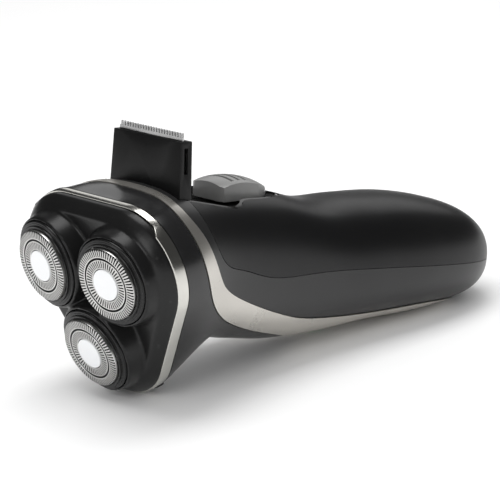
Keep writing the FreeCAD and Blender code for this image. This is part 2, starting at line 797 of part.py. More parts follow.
def make_motor():
    """Flat-sided motor case, its rotor with shaft, and the pinion on the shaft."""
    front = "-gear_plate_depth - gear_plate_thickness - press_clearance"
    rear = f"{front} - motor_length"
    body = cylinder("motor_body", "motor_radius", "motor_length", ("0", "0", rear))
    flats = block("motor_flats", across("motor_flat"), across("motor_radius + 1"),
                  (f"{rear} - 1", f"{front} + 1"))
    chamber = cylinder("motor_chamber", "motor_flat - motor_wall", "motor_length - motor_wall * 2",
                       ("0", "0", f"{rear} + motor_wall"))
    bore = cylinder("motor_bore", "motor_shaft_radius + running_clearance", "motor_length",
                    ("0", "0", f"{rear} + motor_wall * 2"))
    case = common("motor_case", body, flats)
    finish(cut("motor_can", case, chamber, bore), "motor_can", head)

    shaft_front = "0.3 - gear_front_depth"
    rotor_front = f"{front} - motor_wall - 1.5"
    rotor_rear = f"{rear} + motor_wall + 1.5"
    rotor = revolved("motor_rotor", [
        ("0", f"{rear} + motor_wall + 0.3"),
        ("motor_shaft_radius", f"{rear} + motor_wall + 0.3"),
        ("motor_shaft_radius", rotor_rear),
        ("rotor_radius", rotor_rear),
        ("rotor_radius", rotor_front),
        ("motor_shaft_radius", rotor_front),
        ("motor_shaft_radius", shaft_front),
        ("0", shaft_front),
    ])
    finish(rotor, "motor_rotor", head)

    pitch = gear_centre_share("pinion_teeth")
    rim = f"{pitch} - tooth_height - 0.1"
    foot = "-gear_front_depth - gear_thickness"
    pinion = revolved("drive_pinion", [
        ("motor_shaft_radius + press_clearance", foot),
        (rim, foot),
        (rim, "-gear_front_depth"),
        ("motor_shaft_radius + press_clearance", "-gear_front_depth"),
    ])
    add_teeth(pinion, "drive_pinion", pitch, "pinion_teeth", foot, "gear_thickness")
    finish(pinion, "drive_pinion", head)


def make_gear_plate_screws():
    """Three screws that hold the gear plate, between the spindles."""
    pieces = []
    for number, angle in enumerate((0, 120, 240), start=1):
        x = f"(gear_plate_radius + 2) * cos({angle} deg)"
        y = f"(gear_plate_radius + 2) * sin({angle} deg)"
        rear = "-gear_plate_depth - gear_plate_thickness"
        head_piece = cylinder(f"gear_screw_head_{number}", "screw_head_radius", "1.2",
                              (x, y, f"{rear} - 1.25"))
        pieces.append(head_piece)
    finish(group("gear_plate_screws", pieces), "gear_plate_screws", head)


# ---------------------------------------------------------------- handle shells

def lobed_radius(angle, distance, radius):
    """How far the three-lobed outline lies from its middle in one direction from the back."""
    best = 0.0
    for lobe in (60.0, 180.0, 300.0):
        turn = angle - math.radians(lobe)
        under = radius ** 2 - (distance * math.sin(turn)) ** 2
        if under > 0:
            best = max(best, distance * math.cos(turn) + math.sqrt(under))
    for side in (0.0, 120.0, 240.0):
        turn = angle - math.radians(side)
        if math.cos(turn) > 0:
            reach = (distance / 2 + radius) / math.cos(turn)
            if abs(reach * math.sin(turn)) <= distance * math.sin(math.radians(60)):
                best = max(best, reach)
    return best


def oval_radius(angle, half_width, rise, drop, square):
    """The same for an oval with its own rise and drop."""
    side = abs(math.sin(angle)) / half_width
    upright = abs(math.cos(angle)) / (rise if math.cos(angle) > 0 else drop)
    return (side ** square + upright ** square) ** (-1.0 / square)


def section_wire(name, inset, end_inset):
    """One cross-section of the handle, inset for the inner face of the shell."""
    along, height, slant, breadth, rise, drop, square, lobing = [
        size(name + "_" + column) for column in section_columns]
    neck_x = size("neck_depth") * math.cos(math.radians(size("head_tilt")))
    tilt = math.radians(slant)
    x = neck_x + along * (size("handle_length") - end_inset)
    centre = Vector(x, 0, height)
    up = Vector(-math.sin(tilt), 0, math.cos(tilt))
    half_width = breadth * size("handle_width") / 2
    steps = 14
    halves = []
    for side in (1, -1):
        points = []
        for step in range(steps + 1):
            angle = math.pi * step / steps
            oval = oval_radius(angle, half_width - inset, rise - inset, drop - inset, square)
            lobes = lobed_radius(angle, size("lobe_distance"), size("lobe_radius") - inset)
            reach = (1 - lobing) * oval + lobing * lobes
            points.append(centre + up * (reach * math.cos(angle))
                          + Vector(0, side, 0) * (reach * math.sin(angle)))
        if side < 0:
            points.reverse()
        curve = Part.BSplineCurve()
        curve.interpolate(Points=points)
        halves.append(curve.toShape())
    return Part.Wire(halves)


def handle_form(inset, end_inset):
    wires = [section_wire(name, inset, end_inset) for name in sections]
    return Part.makeLoft(wires, True, False)


def seam_points(name):
    """Points of a seam in the side view."""
    neck_x = size("neck_depth") * math.cos(math.radians(size("head_tilt")))
    points = []
    for count in range(len(seams[name])):
        x = neck_x + size(f"{name}_along_{count}_") * size("handle_length")
        points.append(Vector(x, 0, size(f"{name}_height_{count}_")))
    return points


def region_behind(name, shift):
    """Everything above and behind a seam, moved off it by half the seam's gap."""
    reach = 80.0
    off = Vector(shift, -reach, shift)
    points = [point + off for point in seam_points(name)]
    curve = Part.BSplineCurve()
    curve.interpolate(Points=points)
    far = size("handle_length") + reach
    last = points[-1]
    first = points[0]
    corners = [last, Vector(far, last.y, last.z), Vector(far, last.y, reach),
               Vector(first.x, last.y, reach), first]
    lines = [Part.makeLine(start, end) for start, end in zip(corners, corners[1:])]
    face = Part.Face(Part.Wire([curve.toShape()] + lines))
    return face.extrude(Vector(0, 2 * reach, 0))


def bay_plan(offset):
    """Plan of the trimmer bay as a flat face, grown by an offset on every side."""
    points = []
    for count in range(len(bay_outline)):
        points.append(Vector(size(f"bay_along_{count}_"), size(f"bay_half_{count}_"), 0))
    grown = []
    for count, point in enumerate(points):
        before = points[count - 1] if count else point
        after = points[count + 1] if count + 1 < len(points) else Vector(point.x, -1, 0)
        slope = math.atan2(after.y - before.y, after.x - before.x)
        if count == 0:
            grown.append(point + Vector(offset * math.tan(-slope / 2), offset, 0))
        elif count + 1 == len(points):
            grown.append(point + Vector(offset, 0, 0))
        else:
            grown.append(point + Vector(-math.sin(slope), math.cos(slope), 0) * offset)
    side = grown[0].y
    front = size("bay_front") - offset
    mirrored = [Vector(point.x, -point.y, 0) for point in reversed(grown[:-1])]
    curve = Part.BSplineCurve()
    curve.interpolate(Points=grown + mirrored)
    corners = [mirrored[-1], Vector(front, -side, 0), Vector(front, side, 0), grown[0]]
    lines = [Part.makeLine(start, end) for start, end in zip(corners, corners[1:])]
    return Part.Face(Part.Wire([curve.toShape()] + lines))


def raised(face, low, high):
    solid = face.copy()
    solid.translate(Vector(0, 0, low))
    return solid.extrude(Vector(0, 0, high - low))


def rounded_slot(length, width):
    """Flat face of a slot with round ends, centred on the origin."""
    straight = (length - width) / 2
    radius = width / 2
    lines = [Part.makeLine(Vector(-straight, -radius, 0), Vector(straight, -radius, 0)),
             Part.Arc(Vector(straight, -radius, 0), Vector(straight + radius, 0, 0),
                      Vector(straight, radius, 0)).toShape(),
             Part.makeLine(Vector(straight, radius, 0), Vector(-straight, radius, 0)),
             Part.Arc(Vector(-straight, radius, 0), Vector(-straight - radius, 0, 0),
                      Vector(-straight, -radius, 0)).toShape()]
    return Part.Face(Part.Wire(lines))


def release_slot():
    """Opening in the neck for the release button."""
    clearance = 0.3
    width = size("release_width") + clearance * 2
    depth = size("release_length") + clearance * 2
    slot = Part.makeBox(20, width, depth,
                        Vector(-45, -width / 2, -size("release_depth") - depth + clearance))
    slot.Placement = head
    return slot


def make_shells():
    """The four panels of the handle, split along their seams from one hollow form."""
    shell_wall = size("shell_wall")
    outer = handle_form(0.0, 0.0)
    inner = handle_form(shell_wall, shell_wall)
    hollow = outer.cut(inner)
    half_gap = size("seam_gap") / 2
    behind_cover = region_behind("cover_seam", half_gap)
    before_cover = region_behind("cover_seam", -half_gap)
    behind_trim = region_behind("trim_rear_seam", half_gap)
    before_trim_rear = region_behind("trim_rear_seam", -half_gap)
    behind_front = region_behind("trim_front_seam", half_gap)
    before_front = region_behind("trim_front_seam", -half_gap)
    bay = raised(bay_plan(size("bay_wall + seam_gap")), size("bay_floor - bay_wall") - 20, 60)
    tail_x = size("neck_depth * cos(head_tilt * 1 deg) + handle_length")
    socket_hole = Part.makeCylinder(size("power_socket_radius + seam_gap"), 40,
                                    Vector(tail_x - 30, 0, size("tip_height")), Vector(1, 0, 0))
    button_hole = rounded_slot(size("button_length") + 0.6, size("button_width") + 0.6)
    button_hole.translate(Vector(size("button_x"), 0, -40))
    button_hole = button_hole.extrude(Vector(0, 0, 40))
    lens_hole = Part.makeCylinder(size("lens_radius + press_clearance"), 40,
                                  Vector(size("lens_x"), 0, -40))

    rear_cover = hollow.common(behind_cover).cut([bay, socket_hole])
    side_housing = hollow.common(behind_trim).cut([before_cover, bay, socket_hole])
    silver_trim = hollow.common(behind_front).cut([before_trim_rear, button_hole, lens_hole])
    neck_housing = hollow.cut([before_front, release_slot(), button_hole])
    for label, shape in (("rear_cover", rear_cover), ("side_housing", side_housing),
                         ("silver_trim", silver_trim), ("neck_housing", neck_housing)):
        largest = max(shape.Solids, key=lambda solid: solid.Volume)
        print(label, "solids", [round(solid.Volume, 1) for solid in shape.Solids])
        finish(free_form(label, largest), label, handle)
    return outer


def make_trimmer_bay(outer):
    """Gloss black tray under the trimmer and its switch."""
    floor = size("bay_floor")
    wall = size("bay_wall")
    skin = handle_form(0.25, 0.0)
    tray = raised(bay_plan(wall), floor - wall, 60).common(skin)
    tray = tray.cut(raised(bay_plan(0), floor, 70))
    pin_hole = Part.makeCylinder(size("trimmer_pin_radius + press_clearance"), 60,
                                 Vector(size("trimmer_pin_x"), -30, size("trimmer_pin_z")),
                                 Vector(0, 1, 0))
    switch_slot = Part.makeBox(size("switch_travel") + 7.0, size("switch_slot_width"), 10,
                               Vector(size("switch_front") + 5.6, -size("switch_slot_width") / 2,
                                      floor - 5))
    arm_slot = Part.makeBox(2.6, 10.0, 10, Vector(size("trimmer_pin_x") - 0.8, -5.0, floor - 5))
    tray = tray.cut([pin_hole, switch_slot, arm_slot])
    largest = max(tray.Solids, key=lambda solid: solid.Volume)
    finish(free_form("trimmer_bay", largest), "trimmer_bay", handle)


# ---------------------------------------------------------------- trimmer

def make_trimmer():
    """Fold-out trimmer, drawn about its hinge pin and standing up."""
    half = "trimmer_thickness * 0.5"
    foot_half = "trimmer_foot_width * 0.5"
    top_half = "trimmer_top_width * 0.5"
    plate = block("trimmer_plate", across(half), across(foot_half), ("0", "trimmer_height"))
    foot = cylinder("trimmer_foot", half, "trimmer_foot_width",
                    ("0", f"-({foot_half})", "0"), "Y")
    form = fuse("trimmer_form", plate, foot)
    front = padded("trimmer_front", [
        (f"-({foot_half})", "-trimmer_thickness"),
        (foot_half, "-trimmer_thickness"),
        (foot_half, "trimmer_thickness * 0.5"),
        (top_half, "trimmer_height"),
        (f"-({top_half})", "trimmer_height"),
        (f"-({foot_half})", "trimmer_thickness * 0.5"),
    ], "-trimmer_thickness", "trimmer_thickness * 2", "YZ_Plane")
    shape = common("trimmer_shape", form, front)
    slot = block("trimmer_slot", ("-trimmer_slot_front", "trimmer_slot_rear"),
                 across("trimmer_slot_width * 0.5"), ("trimmer_slot_foot", "trimmer_height + 1"))
    tail_slot = block("trimmer_tail_slot", ("-0.35", "trimmer_slot_rear"), across("3.6"),
                      ("0", "trimmer_height"))
    spring_notch = block("trimmer_spring_notch", across("trimmer_thickness"),
                         across("spring_gap * 0.5"), ("-trimmer_thickness", "2.6"))
    pin_hole = cylinder("trimmer_pin_hole", "trimmer_pin_radius + running_clearance",
                        "trimmer_foot_width + 2", ("0", f"-({foot_half}) - 1", "0"), "Y")
    scoop = doc.addObject("Part::Sphere", "trimmer_scoop")
    bind(scoop, "Radius", "107")
    place(scoop, ("-107.3", "0", "trimmer_height + 16.5"))
    grooves = []
    for side in (-1, 1):
        edge = f"{side} * {top_half}"
        inner = f"{edge} - {side} * 0.5"
        outer = f"{edge} + {side} * 2"
        limits = (inner, outer) if side > 0 else (outer, inner)
        grooves.append(block(f"trimmer_groove_{2 + side}", across("0.7"), limits,
                             ("trimmer_height * 0.5", "trimmer_height * 0.9")))
    finish(cut("trimmer_housing", shape, slot, tail_slot, spring_notch, pin_hole, scoop, *grooves),
           "trimmer_housing", trimmer)


def make_trimmer_blades():
    """Fixed comb and moving blade, each a thin steel sheet with a row of teeth."""
    pitch = "comb_width / comb_teeth"
    comb_front = "press_clearance - trimmer_slot_front"
    blade_front = "comb_sheet + press_clearance * 3 - trimmer_slot_front"
    for name, sheet_front, width, rise, foot in (
        ("trimmer_comb", comb_front, "comb_width", "comb_rise", "trimmer_slot_foot + 0.4"),
        ("trimmer_blade", blade_front, "blade_width", "blade_rise", "trimmer_slot_foot + 0.8"),
    ):
        root = f"trimmer_height + {rise} - comb_tooth_length"
        body = padded(name + "_sheet", [
            (f"-({width}) * 0.5", foot),
            (f"({width}) * 0.5", foot),
            (f"({width}) * 0.5", root),
            (f"-({width}) * 0.5", root),
        ], sheet_front, "comb_sheet", "YZ_Plane")
        sketch = new_sketch(body, name + "_tooth", "YZ_Plane", sheet_front)
        start = f"-({width}) * 0.5"
        tip = f"trimmer_height + {rise}"
        draw_outline(sketch, [
            (start, f"{root} - 0.2"),
            (f"{start} + {pitch} * 0.6", f"{root} - 0.2"),
            (f"{start} + {pitch} * 0.45", tip),
            (f"{start} + {pitch} * 0.15", tip),
        ])
        tooth = body.newObject("PartDesign::Pad", name + "_tooth_pad")
        tooth.Profile = sketch
        bind(tooth, "Length", "comb_sheet")
        pattern = body.newObject("PartDesign::LinearPattern", name + "_teeth")
        pattern.Originals = [tooth]
        pattern.Direction = (sketch, ["H_Axis"])
        count = f"floor(({width}) / ({pitch}))"
        bind(pattern, "Occurrences", count)
        bind(pattern, "Length", f"({count} - 1) * {pitch}")
        body.Tip = pattern
        if name == "trimmer_comb":
            finish(body, name, trimmer)
    tail = block("blade_tail", (blade_front, f"{blade_front} + comb_sheet"), across("1.5"),
                 ("3", "trimmer_slot_foot + 2"))
    finish(fuse("trimmer_blade_whole", body, tail), "trimmer_blade", trimmer)


def make_trimmer_fittings():
    """Hinge pin, torsion spring and the arm that drives the blade."""
    reach = "bay_half_0_ + bay_wall - 0.1"
    pin = cylinder("trimmer_hinge_pin", "trimmer_pin_radius", f"({reach}) * 2",
                   ("0", f"-({reach})", "0"), "Y")
    finish(pin, "trimmer_hinge_pin", trimmer)

    wire_radius = 0.22
    coil_radius = size("trimmer_pin_radius") + 0.25 + wire_radius
    span = size("spring_gap") - 2.0
    helix = Part.makeHelix(0.8, span, coil_radius)
    profile = Part.Wire(Part.makeCircle(wire_radius, Vector(coil_radius, 0, 0), Vector(0, 1, 0)))
    spring = Part.Wire(helix).makePipeShell([profile], True, True)
    to_pin = Placement(Vector(0, -span / 2, 0), Rotation(Vector(1, 0, 0), -90))
    spring = spring.transformGeometry(to_pin.Matrix)
    finish(free_form("trimmer_spring", Part.Solid(spring.Shells[0])), "trimmer_spring", trimmer)

    arm_x = ("-0.4", "1.4")
    post = block("arm_post", arm_x, across("2.2"),
                 ("-8.4", "bay_floor - trimmer_pin_z - 0.1"))
    foot = block("arm_foot", ("-0.4", "4"), across("6"), ("-9.2", "-7.6"))
    finish(fuse("trimmer_drive_arm", post, foot), "trimmer_drive_arm", trimmer)


def make_trimmer_switch():
    """Crowned slider that releases the trimmer, and its clip under the tray."""
    half = "switch_width * 0.5"
    rear = "switch_front + switch_length"
    plan = padded("switch_plan", [
        ("switch_front + 0.6", f"-({half}) + 0.5"),
        (f"{rear} - 8", f"-({half})"),
        (f"{rear} - 3", f"-({half}) + 2.6"),
        (f"{rear}", "-2.2"),
        (f"{rear}", "2.2"),
        (f"{rear} - 3", f"({half}) - 2.6"),
        (f"{rear} - 8", half),
        ("switch_front + 0.6", f"({half}) - 0.5"),
        ("switch_front", f"({half}) - 2"),
        ("switch_front", f"-({half}) + 2"),
    ], "switch_foot", "20")
    crown = doc.addObject("Part::Ellipsoid", "switch_crown")
    for name, text in (("Radius1", "12.5"), ("Radius2", "17.6"), ("Radius3", "16.8")):
        bind(crown, name, text)
    crown.Angle1 = -90
    crown.Angle2 = 90
    crown.Angle3 = 360
    place(crown, ("switch_front + 7.8", "0", "bay_floor - 5.2"))
    ribs = []
    for count in range(3):
        x = f"switch_front + {4.6 + 2.6 * count}"
        ribs.append(block(f"switch_groove_{count}", (x, f"{x} + 1.1"), across("5.4"),
                          ("bay_floor + 6.1", "bay_floor + 20")))
    bore = block("switch_bore", ("switch_front + 6", "switch_front + 12.4"), across("2.6"),
                 ("0", "switch_foot + 1.6"))
    slider = cut("trimmer_switch", common("switch_form", plan, crown), bore, *ribs)
    finish(slider, "trimmer_switch", handle)

    stem = block("clip_stem", ("switch_front + 6.1", "switch_front + 12.3"), across("2.5"),
                 ("bay_floor - 2", "switch_foot + 1.5"))
    plate = block("clip_plate", ("switch_front + 4", "switch_front + 14.4"), across("5"),
                  ("bay_floor - 2.8", "bay_floor - 1.6"))
    finish(fuse("switch_clip", stem, plate), "switch_clip", handle)


# ---------------------------------------------------------------- inside the handle

def make_power_parts():
    """Cells in their chassis, contact straps, circuit board and its switch."""
    cell_radius = "handle_width * cell_share"
    offset = f"{cell_radius} + cell_gap * 0.5"
    centre_z = f"chassis_floor + chassis_wall + {cell_radius} + 0.2"
    for number, side in ((1, -1), (2, 1)):
        cell = cylinder(f"battery_cell_{number}", cell_radius, "cell_length",
                        ("cell_start", f"{side} * ({offset})", centre_z), "X")
        finish(cell, f"battery_cell_{number}", handle)
    cell_end = "cell_start + cell_length"
    inner_half = f"{cell_radius} * 2 + cell_gap"
    for name, start in (("battery_strap_front", "cell_start - 0.6"), ("battery_strap_rear", f"{cell_end} + 0.1")):
        strap = block(name, (start, f"{start} + 0.5"), across(f"{inner_half} - 2"),
                      (f"{centre_z} - 3", f"{centre_z} + 3"))
        finish(strap, name, handle)

    outer_half = f"{inner_half} + chassis_wall"
    end = f"{cell_end} + 2"
    outer = block("chassis_outer", ("chassis_start", end), across(outer_half),
                  ("chassis_floor", "chassis_floor + chassis_height"))
    bay = block("chassis_bay", ("cell_start - 1", f"{cell_end} + 0.8"), across(inner_half),
                ("chassis_floor + chassis_wall", "chassis_floor + chassis_height + 1"))
    front = block("chassis_front", ("chassis_start + chassis_wall", "cell_start - 1 - chassis_wall"),
                  across(f"{inner_half} - 1"),
                  ("chassis_floor + chassis_wall", "chassis_floor + chassis_height + 1"))
    finish(cut("chassis", outer, bay, front), "chassis", handle)

    board = block("circuit_board", ("board_start", "board_start + board_length"),
                  across("board_width * 0.5"), ("board_bottom", "board_bottom + board_thickness"))
    finish(board, "circuit_board", handle)
    switch = block("power_switch", ("button_x - 3", "button_x + 3"), across("3"),
                   ("board_bottom - 2", "board_bottom"))
    finish(switch, "power_switch", handle)

    screws = []
    for count, x in enumerate(("board_start + 5", "board_start + board_length - 5")):
        top = cylinder(f"board_screw_head_{count}", "screw_head_radius", "1",
                       (x, "0", "board_bottom - 1.05"))
        screws.append(top)
    finish(group("board_screws", screws), "board_screws", handle)


def make_button_and_lens():
    """Power button and charge light in the front face."""
    face = size("button_face")
    rim = size("button_rim")
    button = rounded_slot(size("button_length"), size("button_width"))
    button.translate(Vector(0, 0, face))
    seat = size("board_bottom - 2 - button_travel - 0.2")
    stem = button.extrude(Vector(0, 0, seat - face))
    flange_face = rounded_slot(size("button_length") + 2 * rim, size("button_width") + 2 * rim)
    flange_face.translate(Vector(0, 0, seat - 1.2))
    flange = flange_face.extrude(Vector(0, 0, 1.2))
    shape = stem.fuse(flange).removeSplitter()
    item = free_form("power_button", shape.Solids[0])
    finish(item, "power_button", shifted(size("button_x"), 0, 0))

    lens = cylinder("indicator_lens", "lens_radius", "5.6",
                    ("lens_x", "0", "-18.7"))
    finish(lens, "indicator_lens", handle)


def make_charging_socket():
    """Round power socket in the tail, with a contact disc at its foot."""
    tail_x = "neck_depth * cos(head_tilt * 1 deg) + handle_length"
    depth = "(power_socket_depth + power_socket_floor)"
    outer = cylinder("socket_outer", "power_socket_radius", depth,
                     (f"{tail_x} - {depth} - 0.2", "0", "tip_height"), "X")
    bore = cylinder("socket_bore", "power_socket_bore", "power_socket_depth + 1",
                    (f"{tail_x} - power_socket_depth - 0.2", "0", "tip_height"), "X")
    pocket = cylinder("socket_pocket", "power_socket_bore - 0.6", "power_socket_depth",
                      (f"{tail_x} - power_socket_depth - 1.2", "0", "tip_height"), "X")
    finish(cut("charging_socket", outer, bore, pocket), "charging_socket", handle)
    contact = cylinder("charging_contact", "power_socket_bore - 0.65", "0.9",
                       (f"{tail_x} - power_socket_depth - 1.15", "0", "tip_height"), "X")
    finish(contact, "charging_contact", handle)


def make_release_button():
    """Curved tab behind the chrome ring that lets the head unit go."""
    outer = cylinder("release_outer", "lobe_radius + 0.7", "release_length",
                     ("-lobe_distance", "0", "-release_depth - release_length"))
    inner = cylinder("release_inner", "lobe_radius + 0.7 - release_thickness", "release_length + 2",
                     ("-lobe_distance", "0", "-release_depth - release_length - 1"))
    limit = block("release_limit", ("-lobe_distance - lobe_radius - 5", "-lobe_distance"),
                  across("release_width * 0.5"), ("-40", "0"))
    tab = cut("release_tab", outer, inner)
    finish(common("release_button", tab, limit), "release_button", head)


# ---------------------------------------------------------------- building

def lay_down():
    """The turn and shift that lay the shaver on its front, resting on head and belly."""
    handle_parts = [item for item, frame in sub_parts if item.Label in ("silver_trim", "side_housing")]
    head_parts = [item for item, frame in sub_parts if item.Label in ("head_cover", "chrome_ring")]
    frames = {item.Label: frame for item, frame in sub_parts}

    def lowest(items, turn):
        best = None
        for item in items:
            shape = item.Shape.copy()
            shape.Placement = turn * frames[item.Label]
            box = shape.optimalBoundingBox(False, False)
            if best is None or box.ZMin < best[0]:
                best = (box.ZMin, box)
        return best[0]

    angle = 6.3
    span = 95.0
    for _ in range(4):
        turn = Placement(Vector(0, 0, 0), Rotation(Vector(0, 1, 0), angle))
        difference = lowest(handle_parts, turn) - lowest(head_parts, turn)
        angle += math.degrees(math.atan(difference / span))
    turn = Placement(Vector(0, 0, 0), Rotation(Vector(0, 1, 0), angle))
    whole = FreeCAD.BoundBox()
    for item, frame in sub_parts:
        shape = item.Shape.copy()
        shape.Placement = turn * frame
        whole.add(shape.optimalBoundingBox(False, False))
    shift = Vector(-whole.Center.x, -whole.Center.y, -whole.ZMin)
    print("rest angle", round(angle, 6), "shift", shift, "size", whole.XLength, whole.YLength, whole.ZLength)
    return Placement(shift, Rotation()) * turn


for number, angle in head_angles.items():
    make_guard(number, pod_frame(angle))
    make_guard_cap(number, pod_frame(angle))
    make_head_ring(number, pod_frame(angle))
    make_cutter(number, pod_frame(angle))
    make_drive_gear(number, angle)
    make_drive_spindle(number, angle)
make_head_cover()
make_chrome_ring()
make_head_base()
make_retaining_frame()
make_drive_plate()
make_spindle_seals()
make_gear_plate()
make_gear_plate_screws()
make_motor()
handle_skin = make_shells()
make_trimmer_bay(handle_skin)
make_trimmer()
make_trimmer_blades()
make_trimmer_fittings()
make_trimmer_switch()
make_power_parts()
make_button_and_lens()
make_charging_socket()
make_release_button()
doc.recompute()

rest = lay_down()
for item, frame in sub_parts:
    item.Placement = rest * frame
doc.recompute()

failed = [item.Name for item in doc.Objects if "Invalid" in item.State or "Error" in item.State]
for item, frame in sub_parts:
    if item.Shape.isNull() or not item.Shape.isValid() or not item.Shape.Solids:
        failed.append(item.Label)
if failed:
    raise RuntimeError("these did not build: " + ", ".join(failed))

os.makedirs("parts", exist_ok=True)
for item, frame in sub_parts:
    item.Shape.exportStep(f"parts/{item.Label}.step")
print(len(sub_parts), "sub-parts written")
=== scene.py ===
import bmesh
import bpy
import json
from math import acos, atan2, cos, pi, radians, sin, sqrt
from mathutils import Matrix, Vector


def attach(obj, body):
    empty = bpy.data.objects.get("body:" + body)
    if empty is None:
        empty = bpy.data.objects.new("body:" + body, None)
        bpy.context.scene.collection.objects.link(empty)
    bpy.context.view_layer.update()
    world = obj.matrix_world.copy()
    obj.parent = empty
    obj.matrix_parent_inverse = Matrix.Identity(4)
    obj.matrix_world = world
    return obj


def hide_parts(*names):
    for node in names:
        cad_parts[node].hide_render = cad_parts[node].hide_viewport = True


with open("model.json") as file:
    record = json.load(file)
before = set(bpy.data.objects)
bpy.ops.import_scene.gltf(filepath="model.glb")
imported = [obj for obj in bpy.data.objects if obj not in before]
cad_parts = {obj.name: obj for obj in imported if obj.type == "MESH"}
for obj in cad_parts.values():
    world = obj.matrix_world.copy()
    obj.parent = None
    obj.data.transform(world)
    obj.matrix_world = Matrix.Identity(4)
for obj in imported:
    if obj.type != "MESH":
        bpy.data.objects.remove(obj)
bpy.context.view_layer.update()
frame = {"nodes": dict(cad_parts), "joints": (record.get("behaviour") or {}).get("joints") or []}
joints = {joint["name"]: joint for joint in frame["joints"]}
nodes = frame["nodes"]
print("frame loaded:", len(nodes), "nodes")

# ---- working frames: shapes are drawn in millimetres and carried into place at the end

def framed(xAxis, yAxis, zAxis, origin):
    turn = Matrix((xAxis, yAxis, zAxis)).transposed().to_4x4()
    return Matrix.Translation(origin) @ turn @ Matrix.Scale(0.001, 4)


def axisOf(name):
    return Vector(joints[name]["axis"]).normalized()


across = Vector((0, 1, 0))
tailwards = axisOf("slider_push")
upwards = axisOf("power_button_press")
hinge = Vector(joints["trimmer_fold"]["pos_m"])
hingePlace = {"x": 25.55, "z": 28.0}  # the hinge pin in the handle's frame
heart = hinge - (tailwards * hingePlace["x"] + upwards * hingePlace["z"]) * 0.001
handleFrame = framed(tailwards, across, upwards, heart)
headOut = axisOf("shaving_unit_pull")
headFrame = framed(across.cross(headOut), across, headOut, heart)
trimmerFrame = framed(tailwards, across, upwards, hinge)
headAngles = {1: -60.0, 2: 60.0, 3: 180.0}


def podFrame(number):
    outward = axisOf(f"cutter_turn_{number}")
    side = axisOf(f"head_tilt_{number}")
    spot = Vector(joints[f"cutter_turn_{number}"]["pos_m"]) + outward * 0.004
    return framed(side.cross(outward), side, outward, spot)


# ---- shader node groups

def newGroup(name, inputs, outputs):
    group = bpy.data.node_groups.new(name, "ShaderNodeTree")
    kinds = {"float": "NodeSocketFloat", "colour": "NodeSocketColor", "vector": "NodeSocketVector"}
    for label, kind, value in inputs:
        socket = group.interface.new_socket(label, in_out="INPUT", socket_type=kinds[kind])
        if value is not None:
            socket.default_value = value
    for label, kind in outputs:
        group.interface.new_socket(label, in_out="OUTPUT", socket_type=kinds[kind])
    return group, group.nodes.new("NodeGroupInput"), group.nodes.new("NodeGroupOutput")


def addNode(tree, kind, **settings):
    node = tree.nodes.new(kind)
    for name, value in settings.items():
        if name in node.inputs:
            node.inputs[name].default_value = value
        else:
            setattr(node, name, value)
    return node


def mathNode(tree, operation, first, second=0.0, clamp=False):
    node = tree.nodes.new("ShaderNodeMath")
    node.operation = operation
    node.use_clamp = clamp
    for socket, value in zip(node.inputs, (first, second)):
        if isinstance(value, (int, float)):
            socket.default_value = value
        else:
            tree.links.new(value, socket)
    return node.outputs[0]


def mixColour(tree, factor, first, second, blend="MIX"):
    node = tree.nodes.new("ShaderNodeMix")
    node.data_type = "RGBA"
    node.blend_type = blend
    for socket, value in ((node.inputs["Factor"], factor), (node.inputs[6], first), (node.inputs[7], second)):
        if isinstance(value, (int, float, tuple)):
            socket.default_value = value
        else:
            tree.links.new(value, socket)
    return node.outputs[2]


def buildSurfaceGroup():
    """"""
    group, inside, outside = newGroup("handledSurface", [
        ("Colour", "colour", (0.5, 0.5, 0.5, 1)), ("Dust Colour", "colour", (0.5, 0.5, 0.5, 1)),
        ("Tone Variation", "float", 0.1), ("Dust", "float", 0.1),
        ("Roughness", "float", 0.4), ("Roughness Variation", "float", 0.1),
        ("Grain Size", "float", 2500.0)], [("Colour", "colour"), ("Roughness", "float"), ("Height", "float")])
    spot = addNode(group, "ShaderNodeTexCoord").outputs["Object"]
    broad = addNode(group, "ShaderNodeTexNoise", Scale=38.0, Detail=4.0, Roughness=0.55)
    fine = addNode(group, "ShaderNodeTexNoise", Scale=420.0, Detail=3.0, Roughness=0.6)
    grain = addNode(group, "ShaderNodeTexNoise", Detail=2.0, Roughness=0.5)
    specks = addNode(group, "ShaderNodeTexVoronoi", Scale=900.0)
    link = group.links.new
    for node in (broad, fine, grain, specks):
        link(spot, node.inputs["Vector"])
    link(inside.outputs["Grain Size"], grain.inputs["Scale"])
    tone = mathNode(group, "MULTIPLY", mathNode(group, "SUBTRACT", broad.outputs[0], 0.5),
                    inside.outputs["Tone Variation"])
    tone = mathNode(group, "ADD", mathNode(group, "MULTIPLY", tone, 2.0), 1.0)
    scaled = addNode(group, "ShaderNodeVectorMath", operation="SCALE")
    link(inside.outputs["Colour"], scaled.inputs[0])
    link(tone, scaled.inputs["Scale"])
    speck = mathNode(group, "LESS_THAN", specks.outputs["Distance"], 0.11)
    thin = mathNode(group, "MULTIPLY", speck, mathNode(group, "GREATER_THAN", fine.outputs[0], 0.56))
    dusty = mathNode(group, "MULTIPLY", mathNode(group, "ADD", mathNode(group, "MULTIPLY", thin, 0.6),
                     mathNode(group, "MULTIPLY", broad.outputs[0], 0.12)), inside.outputs["Dust"], True)
    colour = mixColour(group, dusty, scaled.outputs[0], inside.outputs["Dust Colour"])
    link(colour, outside.inputs["Colour"])
    smear = mathNode(group, "ADD", mathNode(group, "MULTIPLY", broad.outputs[0], 0.6),
                     mathNode(group, "MULTIPLY", fine.outputs[0], 0.4))
    rough = mathNode(group, "MULTIPLY", mathNode(group, "SUBTRACT", smear, 0.5),
                     inside.outputs["Roughness Variation"])
    rough = mathNode(group, "ADD", mathNode(group, "MULTIPLY", rough, 2.0), inside.outputs["Roughness"], True)
    link(rough, outside.inputs["Roughness"])
    link(grain.outputs[0], outside.inputs["Height"])
    return group


